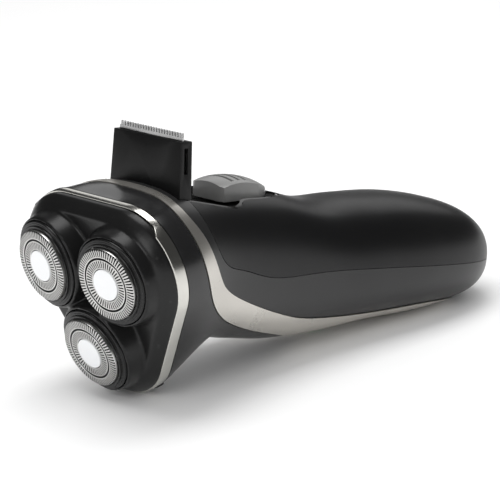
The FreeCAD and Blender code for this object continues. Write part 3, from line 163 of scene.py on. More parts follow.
def buildEdgeGroup():
    group, inside, outside = newGroup("edgeWear", [
        ("Colour", "colour", (0.5, 0.5, 0.5, 1)), ("Worn Colour", "colour", (0.5, 0.5, 0.5, 1)),
        ("Amount", "float", 0.5), ("Threshold", "float", 0.53)], [("Colour", "colour"), ("Mask", "float")])
    link = group.links.new
    point = addNode(group, "ShaderNodeNewGeometry").outputs["Pointiness"]
    spot = addNode(group, "ShaderNodeTexCoord").outputs["Object"]
    patches = addNode(group, "ShaderNodeTexNoise", Scale=260.0, Detail=4.0)
    link(spot, patches.inputs["Vector"])
    edge = mathNode(group, "MULTIPLY", mathNode(group, "SUBTRACT", point, inside.outputs["Threshold"]), 14.0, True)
    patch = mathNode(group, "MULTIPLY", mathNode(group, "SUBTRACT", patches.outputs[0], 0.38), 4.0, True)
    mask = mathNode(group, "MULTIPLY", mathNode(group, "MULTIPLY", edge, patch), inside.outputs["Amount"], True)
    link(mixColour(group, mask, inside.outputs["Colour"], inside.outputs["Worn Colour"]), outside.inputs["Colour"])
    link(mask, outside.inputs["Mask"])
    return group


def buildBrushGroup():
    group, inside, outside = newGroup("brushedMetal", [
        ("Colour", "colour", (0.5, 0.5, 0.5, 1)), ("Stretch", "vector", (1, 1, 1)),
        ("Scale", "float", 300.0), ("Contrast", "float", 0.2), ("Roughness", "float", 0.3)],
        [("Colour", "colour"), ("Roughness", "float"), ("Height", "float")])
    link = group.links.new
    spot = addNode(group, "ShaderNodeTexCoord").outputs["Object"]
    stretched = addNode(group, "ShaderNodeVectorMath", operation="MULTIPLY")
    link(spot, stretched.inputs[0])
    link(inside.outputs["Stretch"], stretched.inputs[1])
    streaks = addNode(group, "ShaderNodeTexNoise", Detail=5.0, Roughness=0.65)
    link(stretched.outputs[0], streaks.inputs["Vector"])
    link(inside.outputs["Scale"], streaks.inputs["Scale"])
    smears = addNode(group, "ShaderNodeTexNoise", Scale=90.0, Detail=3.0)
    link(spot, smears.inputs["Vector"])
    shade = mathNode(group, "MULTIPLY", mathNode(group, "SUBTRACT", streaks.outputs[0], 0.5),
                     inside.outputs["Contrast"])
    scaled = addNode(group, "ShaderNodeVectorMath", operation="SCALE")
    link(inside.outputs["Colour"], scaled.inputs[0])
    link(mathNode(group, "ADD", mathNode(group, "MULTIPLY", shade, 2.0), 1.0), scaled.inputs["Scale"])
    link(scaled.outputs[0], outside.inputs["Colour"])
    rough = mathNode(group, "ADD", mathNode(group, "MULTIPLY", shade, 0.6),
                     mathNode(group, "MULTIPLY", mathNode(group, "SUBTRACT", smears.outputs[0], 0.5), 0.16))
    link(mathNode(group, "ADD", rough, inside.outputs["Roughness"], True), outside.inputs["Roughness"])
    link(streaks.outputs[0], outside.inputs["Height"])
    return group


surfaceGroup = buildSurfaceGroup()
edgeGroup = buildEdgeGroup()
brushGroup = buildBrushGroup()


# ---- materials

def startMaterial(name):
    material = bpy.data.materials.new(name)
    material.use_nodes = True
    shader = material.node_tree.nodes["Principled BSDF"]
    return material, material.node_tree, shader


def useGroup(tree, group, **values):
    node = tree.nodes.new("ShaderNodeGroup")
    node.node_tree = group
    for name, value in values.items():
        node.inputs[name.replace("_", " ")].default_value = value
    return node


def addBump(tree, shader, height, strength, distance):
    bump = addNode(tree, "ShaderNodeBump", Strength=strength, Distance=distance)
    tree.links.new(height, bump.inputs["Height"])
    tree.links.new(bump.outputs["Normal"], shader.inputs["Normal"])


def solid(colour):
    return (*colour, 1.0)


def mouldedPlastic(name, colour, roughness, grain, depth, dust=0.25, worn=None, coat=0.0, specular=0.5,
                   tone=0.12, spread=0.09):
    material, tree, shader = startMaterial(name)
    surface = useGroup(tree, surfaceGroup, Dust_Colour=solid((0.42, 0.41, 0.39)), Tone_Variation=tone,
                       Dust=dust, Roughness=roughness, Roughness_Variation=spread, Grain_Size=grain)
    edge = useGroup(tree, edgeGroup, Colour=solid(colour), Amount=0.45,
                    Worn_Colour=solid(worn or tuple(min(1.0, c * 1.8 + 0.02) for c in colour)))
    tree.links.new(edge.outputs["Colour"], surface.inputs["Colour"])
    tree.links.new(surface.outputs["Colour"], shader.inputs["Base Color"])
    tree.links.new(surface.outputs["Roughness"], shader.inputs["Roughness"])
    shader.inputs["Specular IOR Level"].default_value = specular
    shader.inputs["Coat Weight"].default_value = coat
    shader.inputs["Coat Roughness"].default_value = 0.08
    addBump(tree, shader, surface.outputs["Height"], 0.35, depth)
    return material


def metal(name, colour, roughness, stretch, scale, contrast, depth=0.00001, metallic=1.0, worn=0.3):
    material, tree, shader = startMaterial(name)
    brush = useGroup(tree, brushGroup, Stretch=stretch, Scale=scale, Contrast=contrast, Roughness=roughness)
    edge = useGroup(tree, edgeGroup, Colour=solid(colour), Amount=worn,
                    Worn_Colour=solid(tuple(min(1.0, c * 1.25) for c in colour)))
    tree.links.new(edge.outputs["Colour"], brush.inputs["Colour"])
    tree.links.new(brush.outputs["Colour"], shader.inputs["Base Color"])
    tree.links.new(brush.outputs["Roughness"], shader.inputs["Roughness"])
    shader.inputs["Metallic"].default_value = metallic
    addBump(tree, shader, brush.outputs["Height"], 0.25, depth)
    return material


materials = {
    "softBack": mouldedPlastic("softBack", (0.005, 0.005, 0.0055), 0.36, 3200.0, 0.00003, 0.06, specular=0.34),
    "sidePanel": mouldedPlastic("sidePanel", (0.015, 0.015, 0.0155), 0.30, 2600.0, 0.00002, 0.10, specular=0.42),
    "neckPlastic": mouldedPlastic("neckPlastic", (0.011, 0.011, 0.0115), 0.22, 2600.0, 0.00001, 0.10, specular=0.45),
    "bayGloss": mouldedPlastic("bayGloss", (0.004, 0.004, 0.004), 0.16, 1500.0, 0.00001, 0.10),
    "headBlack": mouldedPlastic("headBlack", (0.006, 0.006, 0.0062), 0.30, 2600.0, 0.000015, 0.08, specular=0.32),
    "ringBlack": mouldedPlastic("ringBlack", (0.006, 0.006, 0.0062), 0.26, 2600.0, 0.000015, 0.08, specular=0.32),
    "trimmerBlack": mouldedPlastic("trimmerBlack", (0.0045, 0.0045, 0.0047), 0.36, 2800.0, 0.00003, 0.06, specular=0.28),
    "sliderGrey": mouldedPlastic("sliderGrey", (0.21, 0.21, 0.207), 0.33, 2600.0, 0.00002, 0.12),
    "buttonRubber": mouldedPlastic("buttonRubber", (0.03, 0.03, 0.031), 0.62, 2000.0, 0.00005, 0.3),
    "capWhite": mouldedPlastic("capWhite", (0.86, 0.87, 0.88), 0.22, 1800.0, 0.00001, 0.05, tone=0.02),
    "innerPlastic": mouldedPlastic("innerPlastic", (0.06, 0.062, 0.066), 0.48, 1800.0, 0.00004, 0.3),
    "nylon": mouldedPlastic("nylon", (0.72, 0.70, 0.63), 0.42, 1800.0, 0.00003, 0.2, tone=0.05),
    "sealRubber": mouldedPlastic("sealRubber", (0.02, 0.02, 0.02), 0.68, 1500.0, 0.00005, 0.35),
    "cellSleeve": mouldedPlastic("cellSleeve", (0.05, 0.20, 0.10), 0.24, 900.0, 0.00002, 0.12, coat=0.3),
    "boardGreen": mouldedPlastic("boardGreen", (0.01, 0.11, 0.04), 0.30, 1300.0, 0.00003, 0.15, coat=0.2),
    "lensGreen": mouldedPlastic("lensGreen", (0.10, 0.42, 0.16), 0.10, 900.0, 0.00001, 0.05),
    "warmSilver": metal("warmSilver", (0.66, 0.635, 0.59), 0.29, (1, 1, 1), 2400.0, 0.07, 0.000008, 0.9, 0.3),
    "brightChrome": metal("brightChrome", (0.66, 0.65, 0.61), 0.20, (1, 1, 1), 800.0, 0.04, 0.000004, 1.0),
    "combSteel": metal("combSteel", (0.62, 0.62, 0.62), 0.26, (1, 0.06, 1), 2600.0, 0.28, 0.00001),
    "turnedSteel": metal("turnedSteel", (0.58, 0.58, 0.59), 0.24, (6, 1, 1), 700.0, 0.2, 0.00001),
    "motorSteel": metal("motorSteel", (0.52, 0.53, 0.54), 0.32, (0.1, 1, 1), 900.0, 0.25, 0.00001),
    "strapNickel": metal("strapNickel", (0.64, 0.61, 0.55), 0.30, (1, 0.1, 1), 900.0, 0.2, 0.00001),
    "windingCopper": metal("windingCopper", (0.72, 0.36, 0.18), 0.28, (0.1, 1, 1), 2400.0, 0.5, 0.00005),
    "contactBrass": metal("contactBrass", (0.80, 0.60, 0.25), 0.22, (1, 1, 1), 900.0, 0.15, 0.00001),
}


def guardSteel(number):
    """"""
    material, tree, shader = startMaterial(f"guardSteel{number}")
    place = podFrame(number)
    link = tree.links.new
    spot = addNode(tree, "ShaderNodeTexCoord").outputs["Object"]
    centred = addNode(tree, "ShaderNodeMapping", vector_type="TEXTURE")
    centred.inputs["Location"].default_value = place.translation
    centred.inputs["Rotation"].default_value = place.to_euler()
    link(spot, centred.inputs["Vector"])
    parts = addNode(tree, "ShaderNodeSeparateXYZ")
    link(centred.outputs[0], parts.inputs[0])
    x, y = parts.outputs[0], parts.outputs[1]
    radius = mathNode(tree, "SQRT", mathNode(tree, "ADD", mathNode(tree, "MULTIPLY", x, x),
                                             mathNode(tree, "MULTIPLY", y, y)))
    turn = mathNode(tree, "ARCTAN2", y, x)
    polar = addNode(tree, "ShaderNodeCombineXYZ")
    link(mathNode(tree, "MULTIPLY", radius, 1600.0), polar.inputs[0])
    link(mathNode(tree, "MULTIPLY", turn, 0.8), polar.inputs[1])
    lathe = addNode(tree, "ShaderNodeTexNoise", Scale=3.0, Detail=4.0, Roughness=0.6)
    link(polar.outputs[0], lathe.inputs["Vector"])
    mottle = addNode(tree, "ShaderNodeTexNoise", Scale=1500.0, Detail=3.0)
    link(spot, mottle.inputs["Vector"])
    tone = mathNode(tree, "ADD", mathNode(tree, "MULTIPLY", lathe.outputs[0], 0.30),
                    mathNode(tree, "MULTIPLY", mottle.outputs[0], 0.22))
    colour = mixColour(tree, tone, (0.74, 0.735, 0.72, 1), (0.36, 0.355, 0.345, 1))
    # painted shade: inside the rim, everything sunk below the guard's top (slots, pits, groove) is mixed towards near
    # black (0.012) to stand in for the shade in them
    paintedSlotShade = mathNode(tree, "MULTIPLY", mathNode(tree, "SUBTRACT", -0.00012, parts.outputs[2]), 9000.0, True)
    paintedSlotShade = mathNode(tree, "MULTIPLY", paintedSlotShade, mathNode(tree, "LESS_THAN", radius, 0.01061))
    link(mixColour(tree, paintedSlotShade, colour, (0.012, 0.012, 0.012, 1)), shader.inputs["Base Color"])
    link(mathNode(tree, "ADD", mathNode(tree, "MULTIPLY", tone, 0.30), 0.22), shader.inputs["Roughness"])
    shader.inputs["Metallic"].default_value = 1.0
    addBump(tree, shader, lathe.outputs[0], 0.3, 0.000015)
    return material


print("materials made:", len(materials))


# ---- making pieces

def finishPiece(name, bm, place, body, material, replaced=(), sharpAngle=35.0, hidden=()):
    bmesh.ops.transform(bm, matrix=place, verts=bm.verts)
    mesh = bpy.data.meshes.new(name)
    bm.to_mesh(mesh)
    bm.free()
    return finishMesh(name, mesh, body, material, replaced, sharpAngle)


def finishMesh(name, mesh, body, material, replaced=(), sharpAngle=35.0):
    mesh.name = name
    mesh.materials.clear()
    mesh.materials.append(material)
    for face in mesh.polygons:
        face.use_smooth = True
    mesh.set_sharp_from_angle(angle=radians(sharpAngle))
    piece = bpy.data.objects.new(name, mesh)
    bpy.context.scene.collection.objects.link(piece)
    if replaced:
        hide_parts(*replaced)
    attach(piece, body)
    return piece


def spun(profile, steps, mirror=False):
    """"""
    bm = bmesh.new()
    corners = [bm.verts.new((radius, 0, height)) for radius, height in profile]
    edges = [bm.edges.new(pair) for pair in zip(corners, corners[1:])]
    bmesh.ops.spin(bm, geom=corners + edges, cent=(0, 0, 0), axis=(0, 0, 1), angle=2 * pi,
                   steps=steps, use_merge=True, use_duplicate=False)
    bmesh.ops.remove_doubles(bm, verts=bm.verts, dist=0.0005)
    bmesh.ops.recalc_face_normals(bm, faces=bm.faces)
    return bm


def solidFrom(bm):
    """"""
    mesh = bpy.data.meshes.new("tool")
    bm.to_mesh(mesh)
    bm.free()
    for face in mesh.polygons:
        face.use_smooth = True
    tool = bpy.data.objects.new("tool", mesh)
    bpy.context.scene.collection.objects.link(tool)
    return tool


def carved(base, steps):
    """"""
    piece = bpy.data.objects.new("work", base.data.copy())
    bpy.context.scene.collection.objects.link(piece)
    for operation, tool in steps:
        cutter = piece.modifiers.new("cut", "BOOLEAN")
        cutter.solver = "EXACT"
        cutter.operation = operation
        cutter.object = tool
    bpy.context.view_layer.update()
    graph = bpy.context.evaluated_depsgraph_get()
    mesh = bpy.data.meshes.new_from_object(piece.evaluated_get(graph))
    bpy.data.objects.remove(piece)
    return mesh


def cleared(*tools):
    for tool in tools:
        bpy.data.objects.remove(tool)


def rounded(mesh, width, segments=2, angle=40.0, place=None):
    """"""
    bm = bmesh.new()
    bm.from_mesh(mesh)
    bmesh.ops.remove_doubles(bm, verts=bm.verts, dist=0.000002 if place is None else 0.002)
    bmesh.ops.dissolve_limit(bm, angle_limit=radians(0.6), verts=bm.verts, edges=bm.edges)
    sharp = [edge for edge in bm.edges if len(edge.link_faces) == 2
             and edge.calc_face_angle(0.0) > radians(angle)]
    bmesh.ops.bevel(bm, geom=sharp, offset=width, offset_type="OFFSET", segments=segments, profile=0.5,
                    affect="EDGES", clamp_overlap=True, material=-1, miter_outer="ARC")
    return bm


def refined(node, body, material, width=0.00025, segments=2, angle=40.0, name=None):
    bm = rounded(nodes[node].data, width, segments, angle)
    return finishPiece(name or node + "_piece", bm, Matrix.Identity(4), body, material, (node,))


# ---- handle form

handleForm = {
    "neckX": 14.592, "length": 152.0, "halfWidth": 24.0, "lobeDistance": 15.0, "lobeRadius": 19.5,
    "rings": 84, "segments": 112,
    # along, centre height, slant, breadth, rise, drop, squareness, lobing
    "stations": (
        (0.0, 4.60, 17.5, 1.250, 27.0, 30.0, 2.1, 1.0), (0.0388, 5.5, 15.5, 1.208, 28.6, 26.0, 2.45, 0.60),
        (0.1276, 7.0, 9.0, 1.065, 25.7, 21.5, 2.55, 0.10), (0.2329, 6.3, 3.0, 0.962, 23.9, 22.5, 2.5, 0.0),
        (0.3513, 5.0, 0.0, 0.908, 22.5, 23.6, 2.4, 0.0), (0.4829, 3.3, 0.0, 0.900, 19.6, 22.0, 2.35, 0.0),
        (0.6145, 3.0, 0.0, 0.958, 19.4, 20.3, 2.35, 0.0), (0.7461, 2.6, 0.0, 1.000, 18.8, 19.3, 2.35, 0.0),
        (0.8645, 1.3, 0.0, 0.933, 16.8, 16.5, 2.35, 0.0), (0.9434, 0.1, 0.0, 0.735, 13.2, 13.2, 2.3, 0.0),
        (1.0, -1.0, 0.0, 0.375, 7.0, 7.0, 2.2, 0.0)),
}

seamLines = {  # side view: along the handle, and height
    "cover": ((0.066, 42.0), (0.075, 28.0), (0.098, 17.5), (0.130, 11.8), (0.190, 8.9), (0.290, 4.9),
              (0.460, 4.1), (0.740, 1.7), (1.060, -1.8)),
    "trimRear": ((0.028, 42.0), (0.030, 30.0), (0.062, 20.6), (0.098, 9.8), (0.130, 4.6), (0.196, -0.4),
                 (0.300, -6.3), (0.390, -10.0), (0.500, -11.6), (0.620, -12.1), (0.740, -11.6),
                 (0.860, -12.6), (0.940, -16.0)),
    "trimFront": ((0.002, 42.0), (0.006, 30.0), (0.028, 20.0), (0.053, 9.8), (0.076, 3.0), (0.110, -2.2),
                  (0.165, -6.7), (0.253, -11.6), (0.350, -15.6), (0.440, -19.6), (0.520, -25.0)),
}


def eased(knots, values, spot):
    """"""
    last = len(knots) - 1
    step = max(i for i in range(last) if knots[i] <= spot or i == 0)

    def slope(i):
        low, high = max(0, i - 1), min(last, i + 1)
        return (values[high] - values[low]) / (knots[high] - knots[low])

    span = knots[step + 1] - knots[step]
    t = (spot - knots[step]) / span
    a, b = values[step], values[step + 1]
    return ((2 * t ** 3 - 3 * t ** 2 + 1) * a + (t ** 3 - 2 * t ** 2 + t) * span * slope(step)
            + (3 * t ** 2 - 2 * t ** 3) * b + (t ** 3 - t ** 2) * span * slope(step + 1))


def lobedReach(angle, distance, radius):
    best = 0.0
    for lobe in (60.0, 180.0, 300.0):
        turn = angle - radians(lobe)
        under = radius ** 2 - (distance * sin(turn)) ** 2
        if under > 0:
            best = max(best, distance * cos(turn) + sqrt(under))
    for side in (0.0, 120.0, 240.0):
        turn = angle - radians(side)
        if cos(turn) > 0:
            reach = (distance / 2 + radius) / cos(turn)
            if abs(reach * sin(turn)) <= distance * sin(radians(60)):
                best = max(best, reach)
    return best


def formSolid(inset, lastShare=1.0):
    """"""
    form = handleForm
    knots = [row[0] for row in form["stations"]]
    columns = list(zip(*form["stations"]))
    bm = bmesh.new()
    loops = []
    shares = [lastShare * (1 - (1 - k / form["rings"]) ** 1.25) for k in range(form["rings"] + 1)]
    tipRound = 2.2
    for share in shares:
        height, slant, breadth, rise, drop, square, lobing = (
            eased(knots, column, share) for column in columns[1:])
        lobing = min(1.0, max(0.0, lobing))
        toEnd = (1 - share) * form["length"]
        closing = 1.0 if toEnd > tipRound else 0.80 + 0.20 * sqrt(max(0.0, 1 - (1 - toEnd / tipRound) ** 2))
        tilt = radians(slant)
        centre = Vector((form["neckX"] + share * form["length"], 0, height))
        upright = Vector((-sin(tilt), 0, cos(tilt)))
        halfWidth = breadth * form["halfWidth"] - inset
        ring = bmesh.ops.create_circle(bm, segments=form["segments"], radius=1.0)["verts"]
        for count, vert in enumerate(ring):
            angle = 2 * pi * count / form["segments"]
            side = abs(sin(angle)) / halfWidth
            stand = abs(cos(angle)) / ((rise if cos(angle) > 0 else drop) - inset)
            oval = (side ** square + stand ** square) ** (-1 / square)
            lobes = lobedReach(angle, form["lobeDistance"], form["lobeRadius"] - inset) if lobing else oval
            reach = ((1 - lobing) * oval + lobing * lobes) * closing
            vert.co = centre + upright * reach * cos(angle) + across * reach * sin(angle)
        loops.append([bm.edges.get((ring[i], ring[(i + 1) % len(ring)])) for i in range(len(ring))])
    for before, after in zip(loops, loops[1:]):
        bmesh.ops.bridge_loops(bm, edges=before + after)
    for loop in (loops[0], loops[-1]):
        bmesh.ops.contextual_create(bm, geom=loop)
    bmesh.ops.recalc_face_normals(bm, faces=bm.faces)
    return solidFrom(bm)


def behindSeam(name, shift):
    """"""
    points = seamLines[name]
    knots = [i / (len(points) - 1) for i in range(len(points))]
    bm = bmesh.new()
    corners = []
    for count in range(61):
        x = handleForm["neckX"] + handleForm["length"] * eased(knots, [p[0] for p in points], count / 60)
        z = eased(knots, [p[1] for p in points], count / 60)
        corners.append(bm.verts.new((x + shift, -70, z + shift)))
    corners.append(bm.verts.new((260, -70, corners[-1].co.z)))
    corners.append(bm.verts.new((260, -70, corners[0].co.z)))
    block = bmesh.ops.extrude_face_region(bm, geom=[bm.faces.new(corners)])["geom"]
    bmesh.ops.translate(bm, vec=(0, 140, 0), verts=[v for v in block if isinstance(v, bmesh.types.BMVert)])
    bmesh.ops.recalc_face_normals(bm, faces=bm.faces)
    return solidFrom(bm)


bayShape = {
    "front": 22.5, "floor": 25.2, "wall": 0.9, "top": 85.0,
    "half": ((44.5, 15.9), (48.4, 13.9), (52.0, 11.6), (64.0, 9.2), (72.0, 5.0), (75.6, 0.0)),
}


def bayPlan(offset, low, high):
    """"""
    half = bayShape["half"]
    knots = [i / (len(half) - 1) for i in range(len(half))]
    line = []
    for count in range(25):
        spot = count / 24
        line.append(Vector((eased(knots, [p[0] for p in half], spot), eased(knots, [p[1] for p in half], spot))))
    line[-1].y = 0.0
    grown = []
    for count, point in enumerate(line):
        before = line[max(0, count - 1)]
        after = line[count + 1] if count < 24 else Vector((point.x, -1.0))
        way = (after - before).normalized()
        grown.append(point + Vector((-way.y, way.x)) * offset)
    grown[0] = Vector((line[0].x, line[0].y + offset))
    grown[-1] = Vector((line[-1].x + offset, 0.0))
    outline = [Vector((bayShape["front"] - offset, grown[0].y))] + grown
    outline += [Vector((p.x, -p.y)) for p in reversed(outline[:-1])]
    bm = bmesh.new()
    face = bm.faces.new([bm.verts.new((p.x, p.y, low)) for p in outline])
    top = bmesh.ops.extrude_face_region(bm, geom=[face])["geom"]
    bmesh.ops.translate(bm, vec=(0, 0, high - low), verts=[v for v in top if isinstance(v, bmesh.types.BMVert)])
    bmesh.ops.recalc_face_normals(bm, faces=bm.faces)
    return solidFrom(bm)


def roundBar(radius, start, end, segments=48):
    """"""
    way = end - start
    bm = bmesh.new()
    turn = way.to_track_quat("Z", "Y").to_matrix().to_4x4()
    bmesh.ops.create_cone(bm, cap_ends=True, segments=segments, radius1=radius, radius2=radius,
                          depth=way.length, matrix=Matrix.Translation((start + end) / 2) @ turn)
    return solidFrom(bm)


def boxTool(low, high, place=None):
    bm = bmesh.new()
    low, high = Vector(low), Vector(high)
    spot = Matrix.Translation((low + high) / 2) @ Matrix.Diagonal((*(high - low), 1.0))
    bmesh.ops.create_cube(bm, size=1.0, matrix=(place or Matrix.Identity(4)) @ spot)
    return solidFrom(bm)


panelFinish = {"gap": 0.16, "wall": 2.0, "trimProud": 0.28, "edge": 0.14}


def makePanels():
    gap = panelFinish["gap"] / 2
    skin = formSolid(0.0)
    proud = formSolid(-panelFinish["trimProud"])
    hollow = formSolid(panelFinish["wall"], 0.985)
    coverOn, coverOff = behindSeam("cover", gap), behindSeam("cover", -gap)
    trimOn, trimOff = behindSeam("trimRear", gap), behindSeam("trimRear", -gap)
    frontOn, frontOff = behindSeam("trimFront", gap), behindSeam("trimFront", -gap)
    bay = bayPlan(bayShape["wall"] + 0.12, 4.0, bayShape["top"])
    tailX = handleForm["neckX"] + handleForm["length"]
    socket = roundBar(4.02, Vector((tailX - 30, 0, -1.0)), Vector((tailX + 10, 0, -1.0)))
    button = boxTool((75.0, -4.8, -40), (85.0, 4.8, 0))
    buttonEnds = [roundBar(4.8, Vector((x, 0, -40)), Vector((x, 0, 0))) for x in (77.5, 82.5)]
    lens = roundBar(1.64, Vector((97.0, 0, -40)), Vector((97.0, 0, 0)))
    local = handleFrame.inverted() @ headFrame
    release = boxTool((-45, -8.3, -18.7), (-25, 8.3, -15.4), local)
    less, both = "DIFFERENCE", "INTERSECT"
    buttonCuts = [(less, button), (less, buttonEnds[0]), (less, buttonEnds[1])]
    plans = {
        "rear_cover": (skin, [(both, coverOn), (less, hollow), (less, bay), (less, socket)], "softBack",
                       "soft_black"),
        "side_housing": (skin, [(both, trimOn), (less, coverOff), (less, hollow), (less, bay),
                                (less, socket)], "sidePanel", "side_grey"),
        "silver_trim": (proud, [(both, frontOn), (less, trimOff), (less, hollow), (less, lens)]
                        + buttonCuts, "warmSilver", "warm_silver"),
        "neck_housing": (skin, [(less, release)] + buttonCuts + [(less, frontOff), (less, hollow)],
                         "neckPlastic", "neck_grey"),
    }
    for node, (base, cuts, material, slotName) in plans.items():
        mesh = carved(base, cuts)
        mesh.transform(handleFrame)
        finishMesh(node + "_panel", mesh, "handle", materials[material], (node,), 32.0)
        print("panel", node, len(mesh.polygons))
    innerBay = bayPlan(0.0, bayShape["floor"], bayShape["top"])
    outerBay = bayPlan(bayShape["wall"], bayShape["floor"] - bayShape["wall"], bayShape["top"])
    lower = formSolid(0.3)
    slideSlot = boxTool((53.8, -2.8, 20), (64.3, 2.8, 30))
    armSlot = boxTool((24.75, -5.0, 20), (27.35, 5.0, 30))
    tray = carved(outerBay, [(both, lower), (less, innerBay), (less, slideSlot), (less, armSlot)])
    tray.transform(handleFrame)
    finishMesh("trimmer_bay_tray", tray, "handle", materials["bayGloss"], ("trimmer_bay",))
    cleared(skin, proud, hollow, coverOn, coverOff, trimOn, trimOff, frontOn, frontOff, bay, socket, button,
            lens, release, innerBay, outerBay, lower, slideSlot, armSlot, *buttonEnds)


# ---- floating heads

guardShape = {
    "outer": 10.8, "height": 3.4, "flange": 0.7, "sheet": 0.45, "steps": 288, "outerPitch": 4, "innerPitch": 6, "slotDepth": 0.5,
    "outerTrack": (8.5, 10.62), "innerTrack": (5.2, 7.3),
}


def makeGuard(number):
    """"""
    shape = guardShape
    edge = shape["outer"]
    foot = -shape["height"]
    inLow, inHigh = shape["innerTrack"]
    outLow, outHigh = shape["outerTrack"]
    profile = [
        (3.04, -0.95), (3.04, -0.5), (4.86, -0.5), (4.94, -0.42), (4.94, -0.06), (5.0, 0.0), (inLow, 0.02),
        (inHigh, 0.02), (7.55, 0.0), (7.62, -0.08), (7.62, -0.62), (7.70, -0.7), (8.10, -0.7), (8.18, -0.62),
        (8.18, -0.08), (8.25, 0.0), (outLow, 0.02), (9.6, 0.02), (10.35, -0.03), (outHigh, -0.14),
        (10.76, -0.30), (edge, -0.48), (edge, -2.60), (10.86, -2.7), (edge + 0.7, -2.7), (edge + 0.7, foot),
        (edge - 0.45, foot), (edge - 0.45, -0.62), (8.63, -0.62), (8.63, -1.15), (7.17, -1.15), (7.17, -0.62),
        (5.44, -0.62), (5.44, -0.95), (3.04, -0.95),
    ]
    bm = spun(profile, shape["steps"])
    tracks = []
    for face in bm.faces:
        spot = face.calc_center_median()
        radius = sqrt(spot.x ** 2 + spot.y ** 2)
        onTop = spot.z > -0.3 and face.normal.z > 0.3
        step = int((atan2(spot.y, spot.x) / (2 * pi)) % 1.0 * shape["steps"])
        inner = inLow < radius < inHigh and step % shape["innerPitch"] * 2 < shape["innerPitch"]
        outer = outLow < radius < edge - 0.02 and step % shape["outerPitch"] * 2 < shape["outerPitch"]
        if onTop and (inner or outer):
            tracks.append(face)
    pits = bmesh.ops.extrude_face_region(bm, geom=tracks)["geom"]
    bmesh.ops.translate(bm, vec=(0, 0, -shape["slotDepth"]),
                        verts=[v for v in pits if isinstance(v, bmesh.types.BMVert)])
    bmesh.ops.delete(bm, geom=tracks, context="FACES_ONLY")
    finishPiece(f"guard_{number}_slotted", bm, podFrame(number), f"guard_float_{number}", guardSteel(number),
                (f"guard_{number}",), 30.0)


def makeCap(number):
    """"""
    profile = [(0.0, -1.7), (2.9, -1.7), (3.0, -1.6), (3.0, -0.46), (4.6, -0.46), (4.7, -0.36), (4.7, 0.05),
               (4.62, 0.2), (4.42, 0.3), (4.1, 0.34), (2.4, 0.42), (0.0, 0.46)]
    finishPiece(f"guard_cap_{number}_dome", spun(profile, 72), podFrame(number), f"guard_float_{number}",
                materials["capWhite"], (f"guard_cap_{number}",), 40.0)


def makeHeadRing(number):
    """"""
    pivot, ball = -4.5, 13.16
    arc = []
    for step in range(11):
        rise = acos(12.9 / ball) * step / 10
        arc.append((ball * cos(rise), pivot + ball * sin(rise)))
    profile = [(12.96, -8.0), (12.96, pivot - 0.1), (ball - 0.02, pivot)] + arc[1:-1] + [
        (12.86, -1.98), (12.74, -1.90), (12.44, -1.90), (12.36, -1.86), (12.30, -1.72), (12.22, -1.70),
        (11.84, -1.70), (11.76, -1.64), (11.70, -1.14), (11.62, -1.08), (11.12, -1.08), (11.0, -1.18),
        (11.0, -2.4), (11.9, -2.4), (11.9, -8.0), (12.96, -8.0)]
    finishPiece(f"head_ring_{number}_lip", spun(profile, 128), podFrame(number), f"floating_head_{number}",
                materials["ringBlack"], (f"head_ring_{number}",), 30.0)


headShape = {
    "rimDepth": -11.2, "shoulderDepth": -7.8, "lobeDistance": 15.0, "rimRadius": 19.15, "shoulderRadius": 15.5,
    "shoulderSpread": 16.1, "domeFoot": 15.25, "domeTop": 13.85, "domeTopDepth": -2.45, "domeFootDepth": -9.0,
    "voxel": 0.42, "smoothing": 10, "topDrop": 1.7,
}


def lobedLoop(bm, distance, radius, height, count=120):
    ring = bmesh.ops.create_circle(bm, segments=count, radius=1.0)["verts"]
    for step, vert in enumerate(ring):
        angle = 2 * pi * step / count
        reach = lobedReach(angle, distance, radius)
        vert.co = Vector((reach * cos(angle), reach * sin(angle), height))
    return [bm.edges.get((ring[i], ring[(i + 1) % count])) for i in range(count)]


def lowered(bm, lowest, drop):
    for vert in bm.verts:
        if vert.co.z > lowest:
            turn = abs(atan2(vert.co.y, vert.co.x))
            share = min(1.0, max(0.0, (radians(52) - turn) / radians(5)))
            vert.co.z -= drop * share


def lobedSolid(levels, count=120):
    """"""
    bm = bmesh.new()
    loops = [lobedLoop(bm, distance, radius, height, count) for distance, radius, height in levels]
    for before, after in zip(loops, loops[1:]):
        bmesh.ops.bridge_loops(bm, edges=before + after)
    for loop in (loops[0], loops[-1]):
        bmesh.ops.contextual_create(bm, geom=loop)
    bmesh.ops.recalc_face_normals(bm, faces=bm.faces)
    return bm


